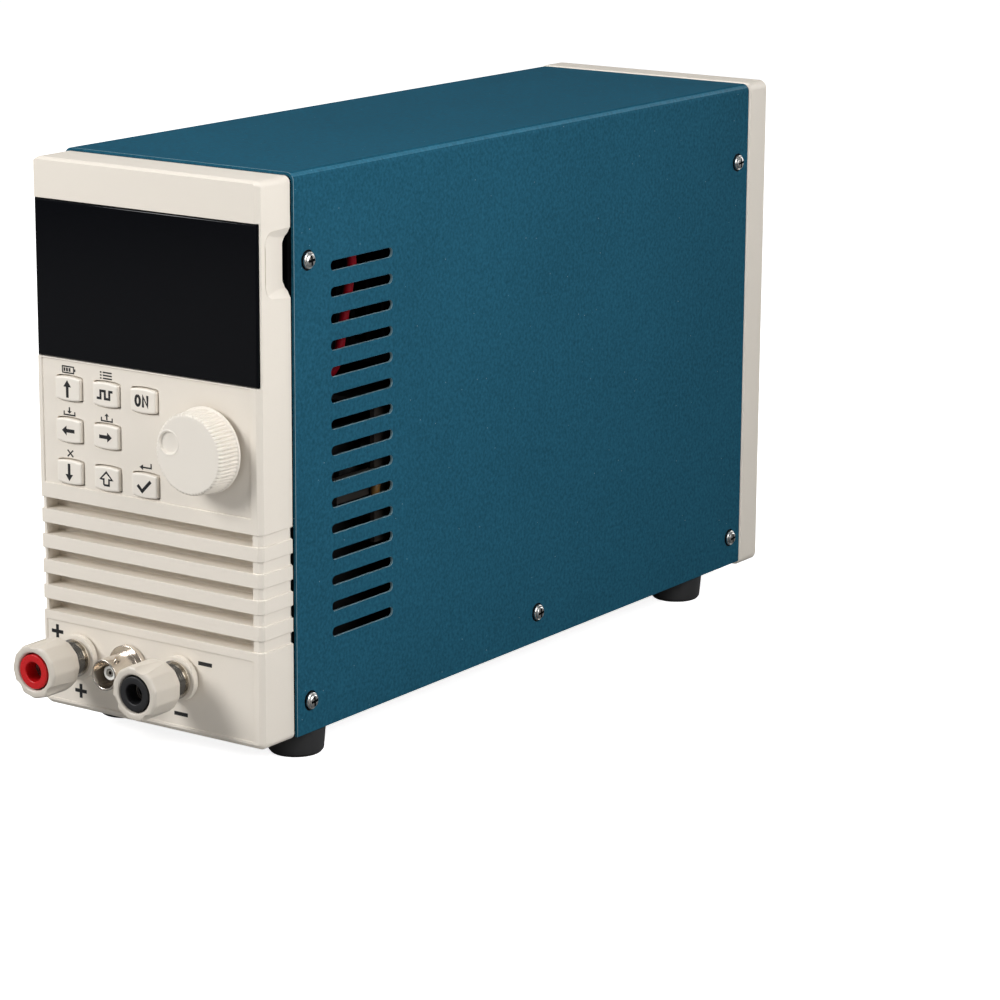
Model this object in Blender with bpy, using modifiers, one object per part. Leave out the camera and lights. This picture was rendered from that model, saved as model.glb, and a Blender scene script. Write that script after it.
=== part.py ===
"""Bench DC electronic load, modelled as the separate pieces that it is assembled from.

Metres, +Z up, +X to the right and the front panel facing -Y. Every piece hangs from one empty,
the case datum, so all the lengths below are read from the front panel's face (y = 0, +Y into the
case), from the underside of the front bezel (z = 0) and from the middle of the case (x = 0).
The datum itself stands where the feet touch z = 0 and the whole object is centred on x and y.
"""
import math

import bmesh
import bpy
from mathutils import Matrix, Vector

MM = 0.001
GAP = 0.3 * MM                    # clearance between two separate pieces that seat or pass

# Front panel from the left, which sets the width of the case
KEYPAD_INSET = 12.0 * MM          # left side to the middle of the first column of keys
KEY_PITCH_X = 14.6 * MM
KNOB_SPACING = 24.2 * MM          # last column of keys to the knob
KNOB_INSET = 19.0 * MM            # knob to the right side

# Front panel from the bottom, which sets the height of the case
TERMINAL_LOW = 2.2 * MM
TERMINAL_HEIGHT = 24.6 * MM
LOUVRE_FOOT = 4.58 * MM           # terminal panel to the middle of the lowest louvre
LOUVRE_COUNT = 5
LOUVRE_PITCH = 7.93 * MM
LOUVRE_HEAD = 6.5 * MM            # middle of the highest louvre to the keypad
KEYPAD_HEIGHT = 38.2 * MM
WINDOW_SPACING = 0.7 * MM
WINDOW_HEIGHT = 47.2 * MM
HEADER_HEIGHT = 12.3 * MM

BODY_WIDTH = KEYPAD_INSET + 2 * KEY_PITCH_X + KNOB_SPACING + KNOB_INSET
TERMINAL_HIGH = TERMINAL_LOW + TERMINAL_HEIGHT
LOUVRE_LAST_Z = TERMINAL_HIGH + LOUVRE_FOOT
LOUVRE_FIRST_Z = LOUVRE_LAST_Z + (LOUVRE_COUNT - 1) * LOUVRE_PITCH
KEYPAD_LOW = LOUVRE_FIRST_Z + LOUVRE_HEAD
KEYPAD_HIGH = KEYPAD_LOW + KEYPAD_HEIGHT
WINDOW_LOW = KEYPAD_HIGH + WINDOW_SPACING
WINDOW_HIGH = WINDOW_LOW + WINDOW_HEIGHT
BODY_HEIGHT = WINDOW_HIGH + HEADER_HEIGHT
SIDE = BODY_WIDTH / 2

# Case
BEZEL_DEPTH = 15.1 * MM           # front face to the front edge of the cover
COVER_LENGTH = 252.6 * MM
COVER_STEP = 0.9 * MM             # the cover stands this far outside the bezel
COVER_SHEET = 1.0 * MM
COVER_BEND = 2.5 * MM             # outer bend radius
COVER_HEM = 0.6 * MM              # lower edge of the cover above the bezel's underside
CHASSIS_SHEET = 1.2 * MM
SHEET_BEND = 1.5 * MM             # bend radius at the middle of the chassis sheet
FLANGE_LENGTH = 11.4 * MM         # side flanges of the front plate and the rear panel
TRAY_FLANGE = 15.0 * MM           # side flanges of the tray, above its floor
FLANGE_CLEAR = 1.5 * MM           # between a plate's flange and the tray's

# Front bezel
BEZEL_WALL = 2.4 * MM
BEZEL_FACE = 2.6 * MM             # thickness of the front wall
BEZEL_CHAMFER = 1.4 * MM
BEZEL_CORNER = 2.0 * MM
BOSS_RADIUS = 2.7 * MM
BOSS_BORE = 1.3 * MM
BOSS_INSET = 5.7 * MM             # from the sides and the top
BOSS_RISE = 7.0 * MM              # of the lower bosses
GRIP_DROP = 14.6 * MM             # top of the bezel to the upper end of a finger grip
GRIP_LENGTH = 22.1 * MM
GRIP_START = 2.6 * MM
GRIP_DEPTH = 3.4 * MM
GRIP_RAMP = 5.0 * MM              # slope at the upper and the lower end of a grip
GRIP_ROUND = 2.0 * MM

# Display
WINDOW_MARGIN = 0.25 * MM         # from the sides of the bezel
WINDOW_RECESS = 1.5 * MM
WINDOW_PROUD = 0.1 * MM
WINDOW_EDGE = 0.5 * MM            # bevel round the window
DISPLAY_MARGIN = 7.2 * MM         # from the sides of the bezel
DISPLAY_INSET = 5.6 * MM          # from the upper and lower edges of the window
DISPLAY_CLEAR = 1.0 * MM          # opening in the bezel round the display

# Keypad
PANEL_MARGIN = 2.6 * MM           # keypad and louvres from the sides of the bezel
KEYPAD_RECESS = 0.4 * MM
KEY_WIDTH = 9.6 * MM
KEY_HEIGHT = 7.4 * MM
KEY_BOW = 0.45 * MM               # rise of the arched upper and lower edges
KEY_CORNER = 1.6 * MM
KEY_PROUD = 1.1 * MM
KEY_EDGE = 0.5 * MM
KEY_CLEAR = 0.35 * MM
KEY_LIP = 0.9 * MM                # flange behind the wall, all round
KEY_LIP_THICKNESS = 0.8 * MM
KEY_TRAVEL = 0.6 * MM
KEY_DROP = 8.3 * MM               # top of the keypad to the middle of the first row
KEY_PITCH_Z = 12.75 * MM
KEYS = {
    "key_up": (0, 0), "key_mode": (1, 0), "key_on": (2, 0),
    "key_left": (0, 1), "key_right": (1, 1),
    "key_down": (0, 2), "key_shift": (1, 2), "key_set": (2, 2),
}

# Rotary encoder
KNOB_DROP = 19.5 * MM             # top of the keypad to the knob's axis
KNOB_RIM_RADIUS = 12.85 * MM
KNOB_FACE_RADIUS = 12.05 * MM
KNOB_STANDOFF = 1.1 * MM          # rim above the front face
KNOB_REACH = 9.6 * MM
KNOB_RIM_LENGTH = 0.8 * MM
KNOB_FLUTES = 42
FLUTE_DEPTH = 0.4 * MM
KNOB_BEAD = 0.9 * MM              # rounding of the ribs at the face
DIMPLE_RADIUS = 3.7 * MM
DIMPLE_DEPTH = 1.0 * MM
DIMPLE_OFFSET = 7.4 * MM          # from the knob's axis
DIMPLE_ANGLE = math.radians(163)
SHAFT_RADIUS = 3.0 * MM
SHAFT_IN_KNOB = 6.4 * MM
ENCODER_SIZE = 12.4 * MM
BUSH_RADIUS = 4.2 * MM

# Louvres
LOUVRE_HEIGHT = 3.6 * MM
LOUVRE_DEPTH = 6.2 * MM
LOUVRE_BACK = 1.5 * MM
SIDE_GROOVE = 0.9 * MM            # depth of the grooves that carry on round the side walls
NOTCH_LENGTH = 1.0 * MM           # each groove ends in an air notch beside the cover

# Terminal panel
TERMINAL_MARGIN = 2.2 * MM
TERMINAL_RECESS = 0.3 * MM
TERMINAL_Z = 17.3 * MM
RED_POST_INSET = 14.4 * MM        # from the left side
POST_PITCH = 39.1 * MM
BNC_SPACING = 19.15 * MM          # from the red post

# Binding posts, lengths forward of the front face
COLLAR_RADIUS = 6.9 * MM
COLLAR_FRONT = 2.3 * MM
COLLAR_BUSH_RADIUS = 4.6 * MM
COLLAR_BUSH_LENGTH = 1.2 * MM     # of the bush behind the front wall
STUD_RADIUS = 3.2 * MM            # rear thread, which carries the nuts and the lead
RING_RADIUS = 5.85 * MM
RING_THICKNESS = 0.8 * MM
THREAD_RADIUS = 4.9 * MM
THREAD_FRONT = 10.6 * MM
NOSE_RADIUS = 2.7 * MM
NOSE_FRONT = 16.8 * MM
SOCKET_RADIUS = 2.05 * MM
SOCKET_DEPTH = 11.0 * MM
POST_NUT_RADIUS = 5.6 * MM        # across the corners
POST_NUT_LENGTH = 2.8 * MM
LUG_THICKNESS = 1.0 * MM
CAP_FRONT = 21.5 * MM
CAP_REAR = 8.3 * MM
CAP_CORNER_RADIUS = 8.45 * MM
CAP_REAR_RADIUS = 6.9 * MM
CAP_SIDES = 12
CAP_EDGE = 1.1 * MM
CAP_TAPER = 1.6 * MM              # length of the taper at the rear
CAP_TRAVEL = 4.5 * MM             # from where it stands to fully screwed down
CAP_FLUTES = 3
CAP_FLUTE_RADIUS = 3.4 * MM
CAP_FLUTE_BITE = 1.4 * MM
INSERT_RADIUS = 5.4 * MM
INSERT_BORE = 3.05 * MM
INSERT_LENGTH = 4.9 * MM

# BNC connector, lengths forward of the front face
BNC_FRONT = 11.75 * MM
BNC_RADIUS = 4.75 * MM
BNC_MOUTH_RADIUS = 4.15 * MM
BNC_MOUTH_DEPTH = 8.0 * MM
BNC_FLANGE_RADIUS = 6.75 * MM
BNC_FLANGE_LENGTH = 1.7 * MM
BNC_THREAD_RADIUS = 4.6 * MM
BNC_NUT_RADIUS = 7.2 * MM         # across the corners
BNC_NUT_LENGTH = 2.2 * MM
BNC_TAIL = 9.0 * MM               # behind the front face
BNC_LUG_RADIUS = 1.0 * MM
BNC_LUG_REACH = 0.8 * MM
BNC_LUG_FRONT = 8.3 * MM
BNC_LUG_ANGLE = math.radians(60)
INSULATOR_RADIUS = 2.2 * MM
INSULATOR_FRONT = 9.1 * MM
CONTACT_RADIUS = 1.1 * MM
CONTACT_BORE = 0.6 * MM
CONTACT_DEPTH = 5.0 * MM

# Vents and case screws
VENT_COUNT = 15
VENT_DROP = 28.5 * MM             # bezel's top to the middle of the first vent
VENT_PITCH = 7.905 * MM
VENT_LENGTH = 30.2 * MM
VENT_HEIGHT = 2.9 * MM
VENT_START = 17.4 * MM            # behind the cover's front edge
SCREW_INSET = 6.6 * MM            # from the cover's front and rear edges
SCREW_LOW_Z = 10.5 * MM
SCREW_DROP = 25.2 * MM            # upper screws below the bezel's top
SCREW_RADIUS = 1.5 * MM
SCREW_LENGTH = 5.0 * MM
SCREW_HEAD_RADIUS = 2.75 * MM
SCREW_HEAD_HEIGHT = 1.3 * MM
SCREW_RECESS = 0.8 * MM

# Feet
FOOT_HEIGHT = 8.0 * MM            # below the bezel's underside
FOOT_TOP_RADIUS = 9.0 * MM
FOOT_BOTTOM_RADIUS = 8.4 * MM
FOOT_EDGE = 0.9 * MM
FOOT_SIDE_INSET = 8.8 * MM        # from the bezel's sides
FOOT_FRONT_INSET = 11.7 * MM      # from the cover's front edge
FOOT_REAR_INSET = 26.3 * MM       # from the cover's rear edge
FOOT_RECESS_RADIUS = 3.4 * MM
FOOT_RECESS_DEPTH = 5.0 * MM

# Rear frame
REAR_FRAME_DEPTH = 11.2 * MM
REAR_FRAME_STEP = 0.35 * MM       # outside the cover
REAR_FRAME_DROP = 1.0 * MM        # below the bezel's underside
REAR_FRAME_WALL = 3.0 * MM
REAR_FRAME_CORNER = 2.8 * MM
REAR_FRAME_EDGE = 1.0 * MM
REAR_LIP = 2.4 * MM               # thickness of the lip that lies on the panel
REAR_LIP_WIDTH = 5.6 * MM

# Fan, which blows out through the rear panel
FAN_SIZE = 60.0 * MM
FAN_DEPTH = 25.0 * MM
FAN_DROP = 42.0 * MM              # bezel's top to the fan's axis
FAN_CORNER = 4.0 * MM
FAN_BORE = 28.4 * MM
FAN_HOLE_PITCH = 50.0 * MM
FAN_HOLE_RADIUS = 2.1 * MM
FAN_HUB_RADIUS = 12.5 * MM
FAN_HUB_LENGTH = 17.0 * MM
FAN_HUB_INSET = 3.0 * MM          # front of the hub behind the fan's front face
FAN_BEARING_RADIUS = 3.5 * MM
FAN_BEARING_DEPTH = 10.0 * MM     # of the bearing inside the hub
FAN_BLADES = 7
FAN_BLADE_CLEAR = 0.9 * MM
FAN_BLADE_THICKNESS = 1.3 * MM
FAN_BLADE_CHORD = 15.0 * MM
FAN_BLADE_ROOT_PITCH = math.radians(50)
FAN_BLADE_TIP_PITCH = math.radians(33)
FAN_STRUTS = 4
FAN_STRUT_WIDTH = 4.0 * MM
FAN_MOTOR_PLATE = 3.0 * MM

# Fan guard
GUARD_WIRE = 0.9 * MM             # radius of the wires
GUARD_RADII = (10.0 * MM, 19.0 * MM, 28.0 * MM)
GUARD_EYE = 3.3 * MM

# Mains inlet with its fuse drawer
INLET_Z = 24.5 * MM
INLET_FLANGE_WIDTH = 50.0 * MM
INLET_FLANGE_HEIGHT = 34.0 * MM
INLET_FLANGE_CORNER = 4.0 * MM
INLET_FLANGE = 2.4 * MM
INLET_BODY_WIDTH = 27.6 * MM
INLET_BODY_HEIGHT = 31.0 * MM
INLET_BODY_DEPTH = 22.0 * MM
SOCKET_WIDTH = 24.2 * MM
SOCKET_HEIGHT = 16.4 * MM
SOCKET_CUT = 4.0 * MM             # the two cut corners of the socket
SOCKET_RISE = 5.4 * MM            # middle of the socket above the inlet's middle
SOCKET_FLOOR = 17.0 * MM
PIN_WIDTH = 2.0 * MM
PIN_HEIGHT = 4.0 * MM
PIN_LENGTH = 15.0 * MM
PIN_PITCH = 14.0 * MM
PIN_RISE = 4.0 * MM               # of the earth pin above the other two
DRAWER_WIDTH = 21.6 * MM
DRAWER_HEIGHT = 5.4 * MM
DRAWER_LENGTH = 16.0 * MM
DRAWER_DROP = 9.6 * MM            # middle of the drawer below the inlet's middle
DRAWER_LIP = 0.8 * MM
DRAWER_FACE = 1.4 * MM

# Power switch
SWITCH_X = 20.0 * MM
SWITCH_RISE = 29.5 * MM           # switch and serial port above the inlet
SWITCH_WIDTH = 15.0 * MM
SWITCH_HEIGHT = 21.0 * MM
SWITCH_FLANGE = 1.6 * MM
SWITCH_RIM = 1.1 * MM             # flange beyond the body, all round
SWITCH_BODY_DEPTH = 16.0 * MM
SWITCH_POCKET_DEPTH = 10.0 * MM
ROCKER_WIDTH = 9.4 * MM
ROCKER_HALF = 7.0 * MM
ROCKER_RISE = 3.2 * MM            # of its ends above the pivot
ROCKER_DISH = 1.3 * MM
ROCKER_ROOT = 4.0 * MM
ROCKER_CLEAR = 0.6 * MM
ROCKER_PIVOT = 1.6 * MM           # depth of the pivot below the flange's face
ROCKER_TILT = math.radians(8)

# Serial port
SERIAL_X = -16.0 * MM
SERIAL_FLANGE_WIDTH = 30.8 * MM
SERIAL_FLANGE_HEIGHT = 12.5 * MM
SERIAL_FLANGE = 0.9 * MM
SERIAL_SHELL_WIDTH = 17.0 * MM
SERIAL_SHELL_HEIGHT = 8.4 * MM
SERIAL_SLANT = 1.0 * MM
SERIAL_SHELL_LENGTH = 5.8 * MM
SERIAL_SHELL_WALL = 0.7 * MM
SERIAL_BODY_WIDTH = 19.4 * MM
SERIAL_BODY_HEIGHT = 10.8 * MM
SERIAL_BODY_DEPTH = 9.0 * MM
JACK_SPACING = 25.0 * MM
JACK_RADIUS = 2.8 * MM            # across the corners
JACK_LENGTH = 4.8 * MM

# Power stage
SINK_FRONT = 100.0 * MM
SINK_FAN_SPACE = 5.2 * MM         # rear of the fins to the fan
SINK_MARGIN = 6.2 * MM            # from the bezel's sides
SINK_BASE = 6.0 * MM
SINK_HEIGHT = 60.0 * MM
SINK_FINS = 13
SINK_FIN = 1.4 * MM
CRADLE_INSET = 8.0 * MM           # shorter than the heat sink at each end
CRADLE_LIP = 8.0 * MM
BOARD = 1.6 * MM
POWER_BOARD_MARGIN = 4.0 * MM     # from the heat sink's sides
POWER_BOARD_INSET = 4.0 * MM
POWER_BOARD_DROP = 14.0 * MM      # top of the board below the heat sink
STANDOFF_RADIUS = 2.8 * MM
STANDOFF_INSET = 7.0 * MM
TRANSISTOR_PITCH = 28.0 * MM
TRANSISTOR_WIDTH = 16.0 * MM
TRANSISTOR_LENGTH = 20.0 * MM
TRANSISTOR_THICKNESS = 5.0 * MM
CAPACITOR_RADIUS = 9.0 * MM
CAPACITOR_LENGTH = 22.0 * MM
TERMINAL_BLOCK = 12.0 * MM
TRANSFORMER_WIDTH = 44.0 * MM
TRANSFORMER_LENGTH = 52.0 * MM
TRANSFORMER_HEIGHT = 40.0 * MM
TRANSFORMER_CORE = 20.0 * MM      # thickness of the laminations
TRANSFORMER_COIL_INSET = 7.0 * MM
CONTROL_BOARD_MARGIN = 19.2 * MM  # from the bezel's right side
CONTROL_BOARD_START = 44.0 * MM
CONTROL_BOARD_LENGTH = 48.0 * MM
CONTROL_BOARD_HEIGHT = 82.0 * MM
CONTROL_BRACKET = 10.0 * MM
COIL_RADIUS = 9.0 * MM
COIL_WIRE_RADIUS = 3.2 * MM
COIL_Z = 66.0 * MM

# Front board
FRONT_BOARD_MARGIN = 9.2 * MM     # from the bezel's sides
FRONT_BOARD_LAP = 8.6 * MM        # hangs this far below the keypad, behind the louvres
FRONT_BOARD_DROP = 5.5 * MM       # from the bezel's top
TACT_SIZE = 6.0 * MM
PILLAR_RADIUS = 2.2 * MM
PILLAR_BORE = 1.0 * MM
PILLAR_INSET = 16.2 * MM          # from the bezel's sides
PILLAR_DROP = 8.5 * MM            # from the bezel's top
PLATE_WINDOW_WIDTH = 40.0 * MM    # way through the front plate for the board's cables
PLATE_WINDOW_HEIGHT = 30.0 * MM

# Input leads, from the posts' nuts to the power board
LEAD_RADIUS = 2.3 * MM
LEAD_BEND = 19.0 * MM             # the leads keep this far from a corner of their route
LUG_RADIUS = 6.4 * MM
LUG_REACH = 9.5 * MM              # from the post's axis to the wire's end
LUG_TONGUE = 4.4 * MM             # width of the strip between the ring and the wire

# Places that follow from the sizes above
KEY_FIRST_X = KEYPAD_INSET - SIDE
KEY_FIRST_Z = KEYPAD_HIGH - KEY_DROP
KNOB_X = SIDE - KNOB_INSET
KNOB_Z = KEYPAD_HIGH - KNOB_DROP
RED_POST_X = RED_POST_INSET - SIDE
BLACK_POST_X = RED_POST_X + POST_PITCH
BNC_X = RED_POST_X + BNC_SPACING
BOSS_X = SIDE - BOSS_INSET
BOSS_HIGH_Z = BODY_HEIGHT - BOSS_INSET
PILLAR_X = SIDE - PILLAR_INSET
PILLAR_Z = BODY_HEIGHT - PILLAR_DROP
GRIP_HIGH = BODY_HEIGHT - GRIP_DROP
GRIP_LOW = GRIP_HIGH - GRIP_LENGTH
DISPLAY_HALF = SIDE - DISPLAY_MARGIN
DISPLAY_LOW = WINDOW_LOW + DISPLAY_INSET
DISPLAY_HIGH = WINDOW_HIGH - DISPLAY_INSET
FRONT_BOARD_HALF = SIDE - FRONT_BOARD_MARGIN
FRONT_BOARD_LOW = KEYPAD_LOW - FRONT_BOARD_LAP
FRONT_BOARD_HIGH = BODY_HEIGHT - FRONT_BOARD_DROP
SCREW_HIGH_Z = BODY_HEIGHT - SCREW_DROP
FOOT_X = SIDE - FOOT_SIDE_INSET
FAN_Z = BODY_HEIGHT - FAN_DROP
SINK_Z = FAN_Z - FAN_SIZE / 2
SINK_HALF = SIDE - SINK_MARGIN
POWER_BOARD_HALF = SINK_HALF - POWER_BOARD_MARGIN
CONTROL_BOARD_X = SIDE - CONTROL_BOARD_MARGIN
SWITCH_Z = INLET_Z + SWITCH_RISE
COVER_FRONT = BEZEL_DEPTH
COVER_REAR = COVER_FRONT + COVER_LENGTH
COVER_HALF = SIDE + COVER_STEP
COVER_TOP = BODY_HEIGHT + COVER_STEP
INNER_HALF = COVER_HALF - COVER_SHEET - GAP
PLATE_TOP = COVER_TOP - COVER_BEND
TRAY_UNDERSIDE = COVER_HEM
TRAY_FLOOR = TRAY_UNDERSIDE + CHASSIS_SHEET
PLATE_FRONT = COVER_FRONT + GAP
PLATE_REAR = PLATE_FRONT + CHASSIS_SHEET
PANEL_REAR = COVER_REAR
PANEL_FRONT = PANEL_REAR - CHASSIS_SHEET
SEAT_REAR = PANEL_REAR + GAP      # front faces of what is mounted on the rear panel
FRAME_REAR = SEAT_REAR + REAR_FRAME_DEPTH
LOUVRE_REAR = LOUVRE_DEPTH + LOUVRE_BACK
FRONT_BOARD_FRONT = LOUVRE_REAR + GAP
RING_REAR = COLLAR_FRONT + GAP
RING_FRONT = RING_REAR + RING_THICKNESS
COLLAR_SEAT = GAP - TERMINAL_RECESS       # flanges that lie on the terminal panel
BUSH_REAR = -(BEZEL_FACE + COLLAR_BUSH_LENGTH)
LUG_FRONT_Y = PLATE_REAR + POST_NUT_LENGTH + 2 * GAP
LUG_REAR_Y = LUG_FRONT_Y + LUG_THICKNESS
STUD_TAIL_Y = LUG_REAR_Y + POST_NUT_LENGTH + 2 * GAP
FAN_REAR = PANEL_FRONT - GAP
FAN_FRONT = FAN_REAR - FAN_DEPTH
CRADLE_FLOOR = TRAY_FLOOR + GAP
POWER_BOARD_TOP = SINK_Z - POWER_BOARD_DROP
SINK_REAR = FAN_FRONT - SINK_FAN_SPACE
POWER_BOARD_FRONT = SINK_FRONT + POWER_BOARD_INSET
POWER_BOARD_REAR = SINK_REAR - POWER_BOARD_INSET
TRANSISTOR_COUNT = int((POWER_BOARD_REAR - POWER_BOARD_FRONT) / TRANSISTOR_PITCH)
TOTAL_DEPTH = CAP_FRONT + FRAME_REAR

ROUND = 24                        # facets of a turned piece that shows
COARSE = 12                       # facets of small holes and inner pieces
FACE_FORWARD = (math.radians(90), 0, 0)      # a lathe's axis towards the front
UPRIGHT = (0, 0, 0)

# sRGB colour, roughness, metallic
FINISHES = {
    "cream_plastic": ((226, 219, 207), 0.48, 0.0),
    "pale_plastic": ((236, 230, 221), 0.42, 0.0),
    "blue_paint": ((40, 88, 108), 0.42, 0.0),
    "black_window": ((12, 14, 17), 0.12, 0.0),
    "black_plastic": ((26, 26, 28), 0.5, 0.0),
    "black_rubber": ((30, 30, 32), 0.75, 0.0),
    "red_plastic": ((214, 36, 44), 0.4, 0.0),
    "nickel": ((200, 196, 188), 0.22, 1.0),
    "screw_steel": ((178, 178, 176), 0.3, 1.0),
    "galvanised": ((150, 153, 156), 0.45, 1.0),
    "aluminium": ((168, 170, 172), 0.4, 1.0),
    "white_ptfe": ((236, 236, 234), 0.45, 0.0),
    "display_glass": ((28, 32, 30), 0.2, 0.0),
    "board_green": ((34, 62, 44), 0.5, 0.0),
    "board_brown": ((78, 66, 52), 0.6, 0.0),
    "core_steel": ((72, 66, 58), 0.55, 0.3),
}


def clear_scene():
    for old in list(bpy.data.objects):
        bpy.data.objects.remove(old, do_unlink=True)


def new_collection(name):
    collection = bpy.data.collections.new(name)
    bpy.context.scene.collection.children.link(collection)
    return collection


clear_scene()
PARTS = new_collection("dc_electronic_load")
CUTTERS = new_collection("cutters")
DATUM = bpy.data.objects.new("case_datum", None)
DATUM.location = (0, CAP_FRONT - TOTAL_DEPTH / 2, FOOT_HEIGHT)
PARTS.objects.link(DATUM)


def linear(channel):
    """One sRGB channel, 0 to 255, as the linear value that Blender uses."""
    share = channel / 255
    return share / 12.92 if share <= 0.04045 else ((share + 0.055) / 1.055) ** 2.4


def finish(name):
    """The material of one finish, made once."""
    if name in bpy.data.materials:
        return bpy.data.materials[name]
    colour, roughness, metallic = FINISHES[name]
    material = bpy.data.materials.new(name)
    material.use_nodes = True
    shader = material.node_tree.nodes["Principled BSDF"]
    shader.inputs["Base Color"].default_value = (*[linear(c) for c in colour], 1)
    shader.inputs["Roughness"].default_value = roughness
    shader.inputs["Metallic"].default_value = metallic
    return material


def as_mesh(shape, name):
    """Turn a bmesh into a mesh whose round sides are smooth and whose edges stay sharp."""
    bmesh.ops.recalc_face_normals(shape, faces=shape.faces)
    mesh = bpy.data.meshes.new(name)
    shape.to_mesh(mesh)
    shape.free()
    mesh.shade_smooth()
    mesh.set_sharp_from_angle(angle=math.radians(35))
    return mesh


def add_part(name, mesh, finish_name, location=(0, 0, 0), rotation=UPRIGHT):
    """Link one sub-part under the case datum."""
    part = bpy.data.objects.new(name, mesh)
    part.parent = DATUM
    part.location = location
    part.rotation_euler = rotation
    mesh.materials.append(finish(finish_name))
    PARTS.objects.link(part)
    return part


def add_cutter(name, shape, location=(0, 0, 0), rotation=UPRIGHT):
    """Link a bmesh as a hidden helper for a Boolean."""
    helper = bpy.data.objects.new(name, as_mesh(shape, name))
    helper.parent = DATUM
    helper.location = location
    helper.rotation_euler = rotation
    helper.hide_render = True
    helper.display_type = "WIRE"
    CUTTERS.objects.link(helper)
    return helper


def boolean(part, helper, operation):
    modifier = part.modifiers.new(helper.name, "BOOLEAN")
    modifier.operation = operation
    modifier.solver = "EXACT"
    modifier.object = helper


def cut(part, helper):
    boolean(part, helper, "DIFFERENCE")


def fuse(part, helper):
    boolean(part, helper, "UNION")


def add_block(shape, corner, opposite):
    """A box between two opposite corners, given in any order."""
    size = [abs(b - a) for a, b in zip(corner, opposite)]
    centre = [(a + b) / 2 for a, b in zip(corner, opposite)]
    matrix = Matrix.Translation(centre) @ Matrix.Diagonal((*size, 1))
    bmesh.ops.create_cube(shape, size=1, matrix=matrix)


def add_rod(shape, start, end, radius, segments=COARSE):
    """A round bar between two points, or a hexagon with six segments."""
    start, end = Vector(start), Vector(end)
    along = end - start
    turn = along.to_track_quat("Z", "Y").to_matrix().to_4x4()
    bmesh.ops.create_cone(shape, cap_ends=True, segments=segments, radius1=radius, radius2=radius,
                          depth=along.length, matrix=Matrix.Translation((start + end) / 2) @ turn)


def add_torus(shape, centre, major, minor, segments, sides=4, rotation=FACE_FORWARD):
    """A ring of round wire, about the Y axis unless it is turned another way."""
    bpy.ops.mesh.primitive_torus_add(location=centre, rotation=rotation, major_segments=segments,
                                     minor_segments=sides, major_radius=major, minor_radius=minor)
    ring = bpy.context.object
    ring.data.transform(Matrix.LocRotScale(ring.location, ring.rotation_euler, None))
    shape.from_mesh(ring.data)
    bpy.data.objects.remove(ring, do_unlink=True)


def along_y(outline, y):
    return [(x, y, z) for x, z in outline]


def along_x(outline, x):
    return [(x, y, z) for y, z in outline]


def along_z(outline, z):
    return [(x, y, z) for x, y in outline]


def add_loft(shape, loops):
    """A closed skin through loops of equally many points, with both ends capped."""
    rings = [[shape.verts.new(point) for point in loop] for loop in loops]
    for ring, following in zip(rings, rings[1:]):
        for i in range(len(ring)):
            j = (i + 1) % len(ring)
            shape.faces.new((ring[i], ring[j], following[j], following[i]))
    shape.faces.new(rings[0])
    shape.faces.new(reversed(rings[-1]))


def arc(centre, radius, start, end, steps):
    """Points on an arc, angles in degrees."""
    angles = [math.radians(start + (end - start) * i / steps) for i in range(steps + 1)]
    return [(centre[0] + radius * math.cos(a), centre[1] + radius * math.sin(a)) for a in angles]


def rounded_rectangle(width, height, radius, steps=3):
    x, y = width / 2 - radius, height / 2 - radius
    points = []
    for side, level, start in ((1, 1, 0), (-1, 1, 90), (-1, -1, 180), (1, -1, 270)):
        points += arc((side * x, level * y), radius, start, start + 90, steps)
    return points


def cushion(width, height):
    """Outline of a key: straight sides, arched upper and lower edges, rounded corners."""
    x = width / 2
    side = height / 2 - KEY_BOW - KEY_CORNER
    corner = [(x, side), (x - KEY_CORNER * 0.3, side + KEY_CORNER * 0.7),
              (x - KEY_CORNER, side + KEY_CORNER)]
    crown = [(x * 0.4, height / 2 - KEY_BOW * 0.2), (-x * 0.4, height / 2 - KEY_BOW * 0.2)]
    upper = corner + crown + [(-px, py) for px, py in reversed(corner)]
    return upper + [(-px, -py) for px, py in upper]


def stadium(length, height, steps=3):
    """A slot's outline with half-round ends."""
    reach = (length - height) / 2
    return arc((reach, 0), height / 2, -90, 90, steps) + arc((-reach, 0), height / 2, 90, 270, steps)


def shifted(outline, across, up):
    return [(a + across, b + up) for a, b in outline]


def bent_path(corners, radius, steps=4):
    """An open line through corners, with each inner corner rounded as a sheet's bend."""
    points = [Vector(corners[0])]
    for before, corner, after in zip(corners, corners[1:], corners[2:]):
        corner = Vector(corner)
        to_start = (Vector(before) - corner).normalized()
        to_end = (Vector(after) - corner).normalized()
        centre = corner + (to_start + to_end) * radius
        for i in range(steps + 1):
            turn = math.pi / 2 * i / steps
            spoke = -to_end * math.cos(turn) - to_start * math.sin(turn)
            points.append(centre + spoke * radius)
    points.append(Vector(corners[-1]))
    return points


def bent_sheet(name, path, place, start, end, thickness, finish_name):
    """A folded sheet: its middle line swept from start to end, thickened by Solidify."""
    shape = bmesh.new()
    near = [shape.verts.new(point) for point in place(path, start)]
    far = [shape.verts.new(point) for point in place(path, end)]
    for i in range(len(path) - 1):
        shape.faces.new((near[i], near[i + 1], far[i + 1], far[i]))
    part = add_part(name, as_mesh(shape, name), finish_name)
    solidify = part.modifiers.new("sheet", "SOLIDIFY")
    solidify.thickness = thickness
    solidify.offset = 0
    solidify.use_even_offset = True
    return part


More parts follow.
